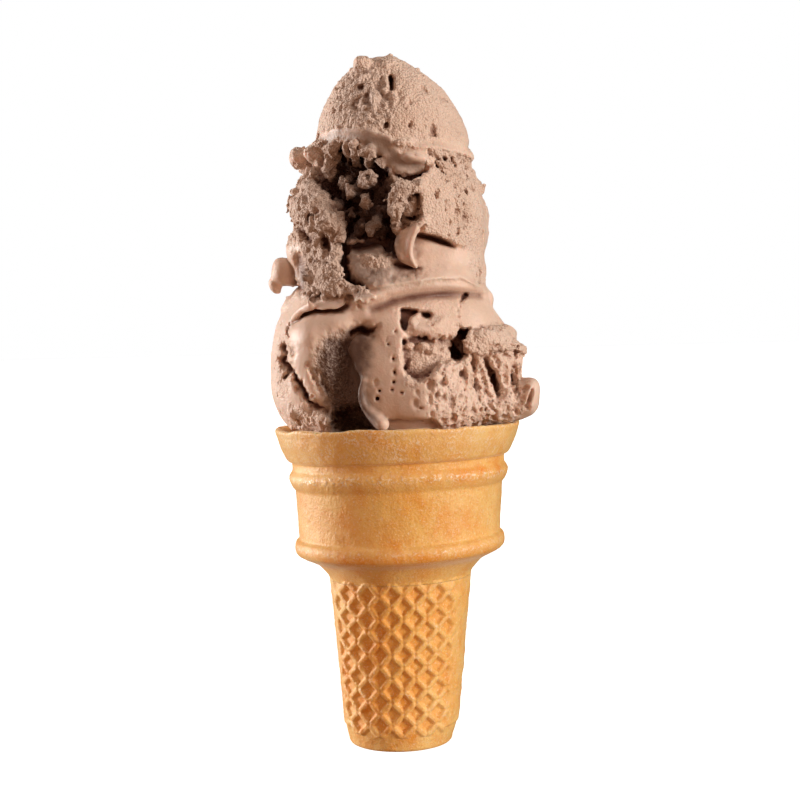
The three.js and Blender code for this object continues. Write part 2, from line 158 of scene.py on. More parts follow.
def read_table(table: Sequence[PAIR], at: ARRAY) -> ARRAY:
    """Reads a table of places and values, in straight lines between its rows."""
    places, values = zip(*table, strict=True)
    return np.interp(at, places, values)


def segment(a: ARRAY, b: ARRAY, x: ARRAY, y: ARRAY) -> tuple[ARRAY, ARRAY]:
    """Measures a flat map's distance to a straight line between two points.

    Args:
        a: Start of the line.
        b: Its end.
        x: Place of each point of the map across.
        y: Its height.

    Returns:
        The share of the line passed at its nearest point, and the distance.
    """
    d = b - a
    share = np.clip(((x - a[0]) * d[0] + (y - a[1]) * d[1]) / max(d @ d, 1e-9), 0, 1)
    return share, np.hypot(x - a[0] - share * d[0], y - a[1] - share * d[1])


def largest_piece(points: ARRAY, faces: ARRAY) -> tuple[ARRAY, ARRAY]:
    """Drops crumbs that hang in the air.

    Args:
        points: Corner positions.
        faces: Corner numbers of the faces.

    Returns:
        Points and faces of the largest connected piece.
    """
    label = np.arange(len(points))
    a, b = faces.ravel(), np.roll(faces, -1, axis=1).ravel()
    while True:
        least = np.minimum(label[a], label[b])
        found = label.copy()
        np.minimum.at(found, label[a], least)
        np.minimum.at(found, label[b], least)
        found = found[found]
        if np.array_equal(found, label):
            break
        label = found
    kept = label[faces[:, 0]]
    kept = faces[kept == np.bincount(kept).argmax()]
    used, corners = np.unique(kept, return_inverse=True)
    return points[used], corners.reshape(kept.shape)


def mesh_object(
    name: str, points: ARRAY, faces: ARRAY, more: ARRAY | None = None, scale: float = MM
) -> bpy.types.Object:
    """Makes a smooth-shaded mesh object from arrays.

    Args:
        name: Name of the object.
        points: Corner positions, one a row.
        faces: Corner numbers of each face, all faces with as many corners.
        more: Further faces with another number of corners, or None.
        scale: Metres in one unit of the points.

    Returns:
        The object, linked to the scene.
    """
    kinds = [faces] if more is None else [faces, more]
    corners = np.concatenate([kind.ravel() for kind in kinds]).astype(np.int32)
    sides = np.concatenate([np.full(len(kind), kind.shape[1]) for kind in kinds])
    starts = (np.cumsum(sides) - sides).astype(np.int32)
    mesh = bpy.data.meshes.new(name)
    mesh.vertices.add(len(points))
    mesh.vertices.foreach_set("co", (points * scale).astype(np.float32).ravel())
    mesh.loops.add(len(corners))
    mesh.loops.foreach_set("vertex_index", corners)
    mesh.polygons.add(len(starts))
    mesh.polygons.foreach_set("loop_start", starts)
    mesh.polygons.foreach_set("use_smooth", np.ones(len(starts), dtype=bool))
    mesh.update(calc_edges=True)
    mesh.validate()
    item = bpy.data.objects.new(name, mesh)
    bpy.context.scene.collection.objects.link(item)
    return item


def give_attribute(item: bpy.types.Object, name: str, values: ARRAY) -> None:
    """Stores one number at each corner of a mesh.

    Args:
        item: Object whose mesh gets the attribute.
        name: Name that the material reads.
        values: One number for each corner.
    """
    layer = item.data.attributes.new(name, "FLOAT", "POINT")
    layer.data.foreach_set("value", values.astype(np.float32))


class Noise:
    """Seamless noise in three dimensions, read at any scale."""

    SIDE: ClassVar[int] = 96
    WAVES: ClassVar[int] = 12

    def __init__(self, seed: int, spread: float = 0.35) -> None:
        """Makes the noise.

        Args:
            seed: Number that fixes the pattern.
            spread: How much finer and coarser waves join the main one, as a share of it.
        """
        side = self.SIDE
        rng = np.random.default_rng(seed)
        spectrum = np.fft.rfftn(rng.standard_normal((side, side, side)))
        whole = np.fft.fftfreq(side) * side
        half = np.fft.rfftfreq(side) * side
        radius = np.sqrt(whole[:, None, None] ** 2 + whole[None, :, None] ** 2 + half[None, None, :] ** 2)
        spectrum *= np.exp(-(((radius - self.WAVES) / (spread * self.WAVES)) ** 2))
        values = np.fft.irfftn(spectrum, s=(side, side, side))
        self.values = np.clip(values / values.std() / 2, -1.3, 1.3).astype(np.float32).ravel()

    def at(self, x: ARRAY, y: ARRAY | float, z: ARRAY, wave: float) -> ARRAY:
        """Reads the noise.

        Args:
            x: Places along X in millimetres.
            y: Places along Y.
            z: Places along Z.
            wave: Length of its main wave in millimetres.

        Returns:
            Values of about -1 to 1.
        """
        side = self.SIDE
        scale = side / (wave * self.WAVES)
        base, rest = [], []
        for axis in (x, y, z):
            spot = np.asarray(axis, dtype=np.float32) * np.float32(scale) + np.float32(4096)
            low = np.floor(spot)
            rest.append(spot - low)
            base.append(low.astype(np.int32) % side)
        total: ARRAY | float = 0.0
        for corner in range(8):
            weight: ARRAY | float = 1.0
            index: ARRAY | int = 0
            for axis in range(3):
                step = (corner >> axis) & 1
                weight = weight * (rest[axis] if step else 1 - rest[axis])
                place = (base[axis] + step) % side
                index = index * side + place
            total = total + weight * self.values[index]
        return total


# ---------------------------------------------------------------- finishes


class Texture(Enum):
    """How a stretch of the ice cream's skin was left by the scoop, and where shade is painted on it."""

    GRAIN = "grain"
    CRUMB = "crumb"
    PIT = "pit"
    FROST = "frost"
    # painted shade for stretches that lie in shadow
    MELT = "melt"


@dataclass(frozen=True)
class ChocolateIceCream:
    """Churned chocolate ice cream: fat and air in a frozen foam, scooped and half smeared.

    The light goes a few millimetres into it, so edges glow warm; hollows and shaded stretches get
    painted shade, red-brown and dark. Where the scoop dragged, the skin is satin, and where it tore,
    ice grains scatter the light.
    """

    body: str = "#dcbeaa"
    # the two dark tones are painted shade in creases, hollows, pits and shaded stretches
    deep: str = "#6a3420"
    painted_deep_shade: str = "#40211a"
    pale: str = "#e8cebd"
    frost: str = "#b9a79d"
    roughness_smooth: float = 0.42
    roughness_torn: float = 0.78
    ior: float = 1.36
    glow_mm: float = 1.6
    glow: float = 0.3
    glow_reach: SPOT = (1.0, 0.42, 0.26)
    grain_mm: float = 0.5
    grain_depth_mm: float = 0.4
    crease: float = 0.16
    crystal_mm: float = 0.3
    bubble_mm: float = 1.15
    bubble_depth_mm: float = 0.35
    cloud_mm: float = 9.0

    def material(self) -> bpy.types.Material:
        """Builds the node material.

        Returns:
            The material, which reads grain, hollow, frost, pit and the share of painted shade.
        """
        made = bpy.data.materials.new("chocolate_ice_cream_scooped")
        made.use_nodes = True
        tree = made.node_tree
        tree.nodes.clear()
        place = add_node(tree, "ShaderNodeNewGeometry").outputs["Position"]
        grain, hollow, frost, melt, pit = (
            add_node(tree, "ShaderNodeAttribute", {"attribute_name": name}).outputs["Fac"]
            for name in ("grain", "hollow", "frost", "melt", "pit")
        )
        # slow clouds of fat and cocoa, ice crystals, and the finest grain
        clouds, crystals, fine = (
            add_node(
                tree, "ShaderNodeTexNoise", links={"Vector": place},
                values={"Scale": 1 / (size * MM), "Detail": detail, "Roughness": rough}
            ).outputs["Fac"]
            for size, detail, rough in (
                (self.cloud_mm, 3.0, 0.55), (self.crystal_mm * 2, 2.0, 0.6), (self.grain_mm * 1.6, 4.0, 0.6)
            )
        )
        # small round grains of the torn crust, and burst air bubbles
        grains, bubbles = (
            add_node(
                tree, "ShaderNodeTexVoronoi", links={"Vector": place},
                values={"Scale": 1 / (size * MM), "Randomness": 1.0}
            ).outputs["Distance"]
            for size in (self.grain_mm, self.bubble_mm)
        )
        # what each share is read from, over which range, and what it is at the range's ends
        ranges = {
            name: add_node(
                tree, "ShaderNodeMapRange", {"interpolation_type": kind}, links={"Value": value},
                values={"From Min": low, "From Max": high, "To Min": least, "To Max": most}
            ).outputs["Result"]
            for name, value, low, high, least, most, kind in (
                ("crystal", crystals, 0.5, 0.6, 0.0, 1.0, "LINEAR"),
                ("crease", grains, 0.35, 0.85, 0.0, self.crease, "LINEAR"),
                ("warm", hollow, 0.0, 0.6, 0.0, 0.8, "LINEAR"),
                ("dark", hollow, 0.5, 1.0, 0.0, 0.9, "LINEAR"),
                ("bubble", bubbles, 0.12, 0.34, 0.45, 0.0, "SMOOTHSTEP"),
                ("rough", grain, 0.0, 1.0, self.roughness_smooth, self.roughness_torn, "LINEAR"),
                ("bump", grain, 0.0, 1.0, 0.03, 1.0, "LINEAR"),
                # smeared skin lets the light in, torn grains throw it back
                ("glow", grain, 0.0, 1.0, self.glow, 0.0, "LINEAR")
            )
        }
        frosted, creased, burst, painted_deep_shade = (
            add_node(
                tree, "ShaderNodeMath", {"operation": operation}, links={0: ranges[name], 1: other}
            ).outputs[0]
            for name, other, operation in (
                ("crystal", frost, "MULTIPLY"), ("crease", grain, "MULTIPLY"), ("bubble", pit, "MULTIPLY"),
                ("dark", melt, "MAXIMUM")
            )
        )
        # Fat and cocoa are never quite even: slow clouds between the body and a paler tone.
        tone = add_node(tree, "ShaderNodeValToRGB", links={"Fac": clouds})
        set_ramp(tone, [(0.3, self.body), (0.72, self.pale)])
        colour = tone.outputs["Color"]
        for share, tint in (
            # Painted shade darkens the creases between the grains of the torn crust.
            (creased, self.deep),
            # Painted shade: warmer in the hollows, darker in the deepest and where stretches lie in shadow.
            (ranges["warm"], self.deep), (painted_deep_shade, self.painted_deep_shade),
            # Ice crystals grow on the torn patches as pale grey grains.
            (frosted, self.frost),
            # Burst air bubbles leave small round pits, with painted shade inside.
            (burst, self.deep)
        ):
            colour = add_node(
                tree, "ShaderNodeMix", {"data_type": "RGBA"}, values={"B": linear(tint)},
                links={"Factor": share, "A": colour}
            ).outputs["Result"]
        bubble_bump = add_node(
            tree, "ShaderNodeBump", {"invert": True}, links={"Height": burst},
            values={"Strength": 1.0, "Distance": self.bubble_depth_mm * MM}
        )
        grain_bump = add_node(
            tree, "ShaderNodeBump", {"invert": True}, values={"Distance": self.grain_depth_mm * MM},
            links={"Strength": ranges["bump"], "Height": grains, "Normal": bubble_bump.outputs["Normal"]}
        )
        bump = add_node(
            tree, "ShaderNodeBump", values={"Distance": self.grain_depth_mm * MM},
            links={"Strength": ranges["bump"], "Height": fine, "Normal": grain_bump.outputs["Normal"]}
        )
        shader = add_node(
            tree, "ShaderNodeBsdfPrincipled", {"subsurface_method": "RANDOM_WALK"},
            values={
                "IOR": self.ior, "Subsurface Radius": self.glow_reach, "Subsurface Scale": self.glow_mm * MM
            },
            links={
                "Base Color": colour, "Subsurface Weight": ranges["glow"], "Roughness": ranges["rough"],
                "Normal": bump.outputs["Normal"]
            }
        )
        add_node(tree, "ShaderNodeOutputMaterial", links={"Surface": shader.outputs["BSDF"]})
        return made


# ---------------------------------------------------------------- ice cream: the field


class Field:
    """Signed distance of the ice cream on a block of points, below zero inside."""

    def __init__(self, low: SPOT, high: SPOT, step: float) -> None:
        """Makes an empty block.

        Args:
            low: Lowest corner in millimetres.
            high: Highest corner.
            step: Distance from point to point.
        """
        self.step = step
        self.axes = tuple(
            np.arange(a, b + step / 2, step, dtype=np.float32) for a, b in zip(low, high, strict=True)
        )
        self.low = np.array(low)
        self.values = np.full([len(axis) for axis in self.axes], 40, dtype=np.float32)

    @property
    def open_grid(self) -> tuple[ARRAY, ARRAY, ARRAY]:
        """X, Y and Z of all points, each along its own axis."""
        x, y, z = self.axes
        return x[:, None, None], y[None, :, None], z[None, None, :]

    def window(self, centre: ARRAY, reach: ARRAY) -> tuple[tuple[slice, ...], tuple[ARRAY, ...]]:
        """Finds the points near a place.

        Args:
            centre: Middle of the wanted box.
            reach: Half of its size.

        Returns:
            The slices into the block, and X, Y and Z of the points in them.
        """
        cut, local = [], []
        for axis, (middle, half) in enumerate(zip(centre, reach, strict=True)):
            start = int(np.searchsorted(self.axes[axis], middle - half))
            stop = int(np.searchsorted(self.axes[axis], middle + half))
            cut.append(slice(start, stop))
            shape = [1, 1, 1]
            shape[axis] = stop - start
            local.append(self.axes[axis][start:stop].reshape(shape))
        return tuple(cut), tuple(local)

    def blend(self, cut: tuple[slice, ...], other: ARRAY, edge: float, adds: bool) -> None:
        """Joins a shape to part of the block, or cuts it out.

        Args:
            cut: Slices of the part.
            other: Signed distance of the shape there.
            edge: Size of the fillet.
            adds: True to join the shape, False to cut it out.
        """
        part = self.values[cut]
        if not part.size:
            return
        self.values[cut] = soft_join(part, other, edge) if adds else -soft_join(-part, other, edge)

    def body(
        self, at: ARRAY, size: ARRAY, power: float, edge: float, adds: bool, turn: Matrix | None
    ) -> None:
        """Joins or cuts a rounded body.

        Args:
            at: Its middle.
            size: Its half sizes along its own axes.
            power: 2 is an ellipsoid, and more gives fuller shoulders.
            edge: Size of the fillet.
            adds: True to join it, False to cut it out.
            turn: Its rotation, or None.
        """
        reach = np.full(3, float(max(size))) + edge + 2 * self.step if turn else size + edge + 1
        cut, (x, y, z) = self.window(at, reach)
        x, y, z = x - at[0], y - at[1], z - at[2]
        if turn is not None:
            rows = np.array(turn.to_3x3().transposed())
            x, y, z = (row[0] * x + row[1] * y + row[2] * z for row in rows)
        plan = np.sqrt((x / size[0]) ** 2 + (y / size[1]) ** 2)
        measure = (plan**power + np.abs(z / size[2]) ** power) ** (1 / power)
        self.blend(cut, ((measure - 1) * min(size)).astype(np.float32), edge, adds)

    def rod(self, path: ARRAY, radii: ARRAY, edge: float) -> None:
        """Joins a round bar of changing thickness.

        Args:
            path: Its middle line, one point a row.
            radii: Its radius at each point.
            edge: Size of the fillet.
        """
        reach = (path.max(axis=0) - path.min(axis=0)) / 2 + max(radii) + edge + 1
        cut, (x, y, z) = self.window((path.max(axis=0) + path.min(axis=0)) / 2, reach)
        nearest = np.full(np.broadcast_shapes(x.shape, y.shape, z.shape), 99, dtype=np.float32)
        for a, b, thick_a, thick_b in zip(path, path[1:], radii, radii[1:], strict=False):
            d = b - a
            share = ((x - a[0]) * d[0] + (y - a[1]) * d[1] + (z - a[2]) * d[2]) / max(d @ d, 1e-9)
            share = np.clip(share, 0, 1)
            away = np.sqrt(
                (x - a[0] - share * d[0]) ** 2 + (y - a[1] - share * d[1]) ** 2
                + (z - a[2] - share * d[2]) ** 2
            )
            nearest = np.minimum(nearest, away - thick_a - share * (thick_b - thick_a))
        self.blend(cut, nearest, edge, True)

    def skin(self) -> tuple[ARRAY, ARRAY]:
        """Draws the surface where the distance is zero.

        Returns:
            Points in millimetres, and the corner numbers of the four-sided faces.
        """
        grid = openvdb.FloatGrid(1.0)
        grid.copyFromArray(np.clip(self.values / self.step, -1, 1).astype(np.float32))
        points, _, quads = grid.convertToPolygons(isovalue=0.0, adaptivity=0.0)
        return points * self.step + self.low, quads

    def read(self, values: ARRAY, points: ARRAY) -> ARRAY:
        """Reads a block of values at any points.

        Args:
            values: Values at the points of this field.
            points: Places in millimetres, one a row.

        Returns:
            One value for each place, blended from its eight neighbours.
        """
        spot = (points - self.low) / self.step
        spot = np.clip(spot, 0, np.array(values.shape) - 1.001)
        base = spot.astype(np.int32)
        rest = (spot - base).astype(np.float32)
        total = np.zeros(len(points), dtype=np.float32)
        for corner in range(8):
            step = np.array([(corner >> axis) & 1 for axis in range(3)])
            weight = np.prod(np.where(step, rest, 1 - rest), axis=1)
            place = base + step
            total += weight * values[place[:, 0], place[:, 1], place[:, 2]]
        return total


# ---------------------------------------------------------------- ice cream: charts and features


class Chart:
    """Flat map of one side of the ice cream: relief in millimetres and textures from 0 to 1."""

    def __init__(self, across: ARRAY, up: ARRAY, noise: Noise, period: float | None = None) -> None:
        """Makes an empty map.

        Args:
            across: Places along its width in millimetres.
            up: Heights in millimetres.
            noise: Noise that makes its edges uneven.
            period: Width after which it meets itself, or None.
        """
        self.across, self.up = np.meshgrid(across, up, indexing="ij")
        self.period = period
        self.noise = noise
        self.relief = np.zeros_like(self.across)
        self.textures = {kind: np.zeros_like(self.across) for kind in Texture}

    def places(self, stops: Sequence[PAIR], ragged: float) -> tuple[ARRAY, ARRAY]:
        """Gives the map's places as a feature sees them.

        Args:
            stops: Points of the feature.
            ragged: How far the noise moves its edge, in millimetres.

        Returns:
            Width and height of each place.
        """
        across, up = self.across, self.up
        if self.period:
            middle = sum(stop[0] for stop in stops) / len(stops)
            across = (across - middle + self.period / 2) % self.period - self.period / 2 + middle
        if ragged:
            shift = self.noise.at(across, 3.0, up, 1.9) + 0.6 * self.noise.at(across, 8.0, up, 0.9)
            other = self.noise.at(across, 15.0, up, 2.3) + 0.6 * self.noise.at(across, 21.0, up, 1.0)
            across, up = across + ragged * shift, up + ragged * other
        return across, up

    def from_path(self, stops: Sequence[PAIR], ragged: float = 0.0) -> tuple[ARRAY, ARRAY, ARRAY]:
        """Measures the distance to a line.

        Args:
            stops: Points of the line.
            ragged: How far noise moves it.

        Returns:
            Distance of each place, the share of the line passed at its nearest point, and whether
            the place lies on the left-hand side.
        """
        across, up = self.places(stops, ragged)
        path = curve_through(stops)
        nearest = np.full_like(across, 1e9)
        passed = np.zeros_like(across)
        left = np.zeros(across.shape, dtype=bool)
        for i, (a, b) in enumerate(zip(path, path[1:], strict=False)):
            d = b - a
            share, away = segment(a, b, across, up)
            closer = away < nearest
            nearest = np.where(closer, away, nearest)
            passed = np.where(closer, (i + share) / (len(path) - 1), passed)
            left = np.where(closer, d[0] * (up - a[1]) > d[1] * (across - a[0]), left)
        return nearest, passed, left

    def from_outline(self, stops: Sequence[PAIR], ragged: float = 0.0) -> ARRAY:
        """Measures the distance to a closed outline, below zero inside.

        Args:
            stops: Corners of the outline.
            ragged: How far noise moves it.

        Returns:
            Distance of each place.
        """
        across, up = self.places(stops, ragged)
        path = curve_through(stops, closed=True)
        nearest = np.full_like(across, 1e9)
        inside = np.zeros(across.shape, dtype=bool)
        for a, b in zip(path, np.roll(path, -1, axis=0), strict=True):
            d = b - a
            nearest = np.minimum(nearest, segment(a, b, across, up)[1])
            crosses = (a[1] > up) != (b[1] > up)
            inside ^= crosses & (across < a[0] + (up - a[1]) * d[0] / (d[1] if d[1] else 1e-9))
        return np.where(inside, -nearest, nearest)


class Feature:
    """Something that the scoop or the spoon left on one side of the ice cream."""

    def mark(self, chart: Chart) -> None:
        """Draws itself on a chart."""
        raise NotImplementedError


@dataclass(frozen=True)
class Stroke(Feature):
    """A roll (above zero) or a groove (below zero) along a line.

    With another width on the right-hand side of the line it is a fold with one steep side.
    """

    height: float
    width: float
    stops: Sequence[PAIR]
    ends: float = 0.4
    ragged: float = 0.3
    right: float | None = None

    def mark(self, chart: Chart) -> None:
        """Adds the roll or the groove to the relief."""
        away, passed, left = chart.from_path(self.stops, self.ragged)
        taper = self.ends + (1 - self.ends) * np.sin(np.pi * np.clip(passed, 0.02, 0.98)) ** 0.6
        width = self.width if self.right is None else np.where(left, self.width, self.right)
        chart.relief += self.height * taper * np.exp(-((away / (width * taper**0.5)) ** 2))


@dataclass(frozen=True)
class Swell(Feature):
    """A round bump or dent."""

    height: float
    at: PAIR
    size: PAIR
    turn: float = 0.0
    ragged: float = 0.0

    def mark(self, chart: Chart) -> None:
        """Adds the bump or the dent to the relief."""
        across, up = chart.places([self.at], self.ragged)
        across, up = across - self.at[0], up - self.at[1]
        c, s = math.cos(math.radians(self.turn)), math.sin(math.radians(self.turn))
        far = ((across * c + up * s) / self.size[0]) ** 2 + ((up * c - across * s) / self.size[1]) ** 2
        chart.relief += self.height * np.exp(-(far**1.4))


@dataclass(frozen=True)
class Facet(Feature):
    """A stretch that lies higher or lower than what surrounds it, with a step at its edge."""

    height: float
    stops: Sequence[PAIR]
    edge: float = 0.5
    ragged: float = 0.3

    def mark(self, chart: Chart) -> None:
        """Adds the step to the relief."""
        away = chart.from_outline(self.stops, self.ragged)
        chart.relief += self.height * ease(self.edge, -self.edge, away)


@dataclass(frozen=True)
class Patch(Feature):
    """A stretch with a texture of its own."""

    amounts: dict[Texture, float]
    stops: Sequence[PAIR]
    soft: float = 0.8
    ragged: float = 0.8

    def mark(self, chart: Chart) -> None:
        """Sets the textures inside the outline."""
        share = ease(self.soft, -self.soft, chart.from_outline(self.stops, self.ragged))
        for kind, amount in self.amounts.items():
            chart.textures[kind] += share * (amount - chart.textures[kind])


@dataclass(frozen=True)
class Flap:
    """A thin tongue of smeared ice cream that lies on the rest and stands off at its edge."""

    height: float
    thick: float
    stops: Sequence[PAIR]
    lean: PAIR = (0.0, 0.0)
    ragged: float = 0.25
    bead: float = 0.0
    round: float = 0.35


@dataclass(frozen=True)
class Lump:
    """A rounded piece pressed on.

    On the front its place is X, Z and how far its middle stands off the skin. A large one is
    placed by the bearing from the front, Z and that distance.
    """

    at: SPOT
    size: SPOT
    power: float = 2.2
    edge: float = 0.4
    turn: float = 0.0
    adds: bool = True


@dataclass(frozen=True)
class Bite(Lump):
    """A rounded bite taken out."""

    power: float = 2.0
    edge: float = 1.0
    adds: bool = False


@dataclass(frozen=True)
class Rod:
    """A rolled or hanging strand: stops of X, Z and lift off the skin, and its radii."""

    stops: Sequence[SPOT]
    radii: Sequence[float]
    edge: float = 0.3


@dataclass(frozen=True)
class Strewn:
    """A lot of crumbs or pits of random size, strewn over the skin."""

    count: int
    radii: PAIR
    tall: float
    sink: float
    edge: float
    adds: bool


# M marks stretches that get painted shade
G, C, P, F, M = Texture.GRAIN, Texture.CRUMB, Texture.PIT, Texture.FROST, Texture.MELT

# large pieces and bites, placed round the ice cream by bearing, height and lift
LARGE: tuple[Lump, ...] = (
    Lump((68, 76.2, -6.2), (10, 12.5, 5.4), 3, 1.2), Lump((62, 84.4, -8.4), (11, 11.6, 6), 3, 1.2),
    Lump((22, 77.5, -4.4), (9, 5.6, 5.5), 3, 1.5), Lump((-44, 86, -9.2), (11, 10.4, 11), 2.4, 2.5),
    Lump((-40, 73.5, -2.6), (5, 3.4, 2.4), 2.2, 1), Lump((-41, 115.8, -2.6), (6.2, 5.2, 4.9), 2.2, 0.8),
    Lump((38, 116.5, -6), (12, 7.4, 8.2), 3, 1.5), Lump((-36, 105, -2), (4.2, 3.6, 6), 2.6, 0.8),
    Lump((33, 127, -2.8), (6, 4, 3.6), 2.4, 1.2), Lump((120, 127.6, -2.4), (8.4, 4, 2.8), 2.4, 1),
    Lump((-150, 128.2, -2.4), (8, 4, 2.8), 2.4, 1), Lump((150, 117, -3.4), (7, 5.4, 6), 2.2, 1.5),
    Lump((-125, 113, -3.4), (6.2, 5, 7), 2.2, 1.5), Lump((-160, 86, -6.4), (11, 8, 9), 2.4, 2.5),
    Lump((130, 82, -5.6), (10, 7.6, 8), 2.6, 2), Lump((-112, 77, -5.4), (6, 7, 4.6), 2.4, 1.5),
    Lump((-84, 109.5, -2.4), (5, 4.2, 4.4), 2.2, 1.4), Lump((-74, 117.6, -2.6), (4.6, 4, 3), 2.2, 1.2),
    Bite((-20, 113.2, 0.4), (4.4, 5.4, 4.4)), Bite((-31, 119.4, 1), (3.6, 3.8, 2.6)),
    Bite((-14, 119.8, 0.8), (4, 3.8, 2.4)), Bite((-33, 126, 1), (5.4, 3.2, 1.7), 2, 0.8),
    Bite((-15, 105.2, 2.2), (5.6, 3.8, 4.6), 2, 0.9), Bite((165, 104.8, 1), (9, 3.2, 2.2)),
    Bite((-130, 104, 1), (6, 3.2, 2)), Bite((92, 107.6, 2.6), (5, 4.6, 2.4)),
    Bite((86, 95.4, 5.3), (9, 8.4, 5.2), 2, 1.6), Bite((-95, 122.4, 1), (3, 4.6, 2.4)),
    Bite((175, 123.2, 1), (7.4, 3, 1.8)), Bite((155, 76, 0.8), (5, 3, 3.4)),
)
LARGE_RODS: tuple[Rod, ...] = (
    Rod([(100, 97.6, -1.4), (135, 99.4, 0.1), (178, 98.2, 0.2), (220, 99.6, 0.1), (266, 97.8, -0.2),
        (280, 97, -2)], [2, 2, 2, 2, 2, 1.8], 1.6),
    Rod([(70, 128.6, 0), (110, 130.4, 0.1), (170, 131.2, 0.1), (230, 130.2, 0.1), (296, 132.6, 0)], [1.3,
        1.3, 1.3, 1.3, 1.3], 1),
    Rod([(84, 90.4, -0.6), (60, 90.2, 0.2), (46, 89.6, 0.4)], [1.6, 1.6, 1.6], 1.2),
)

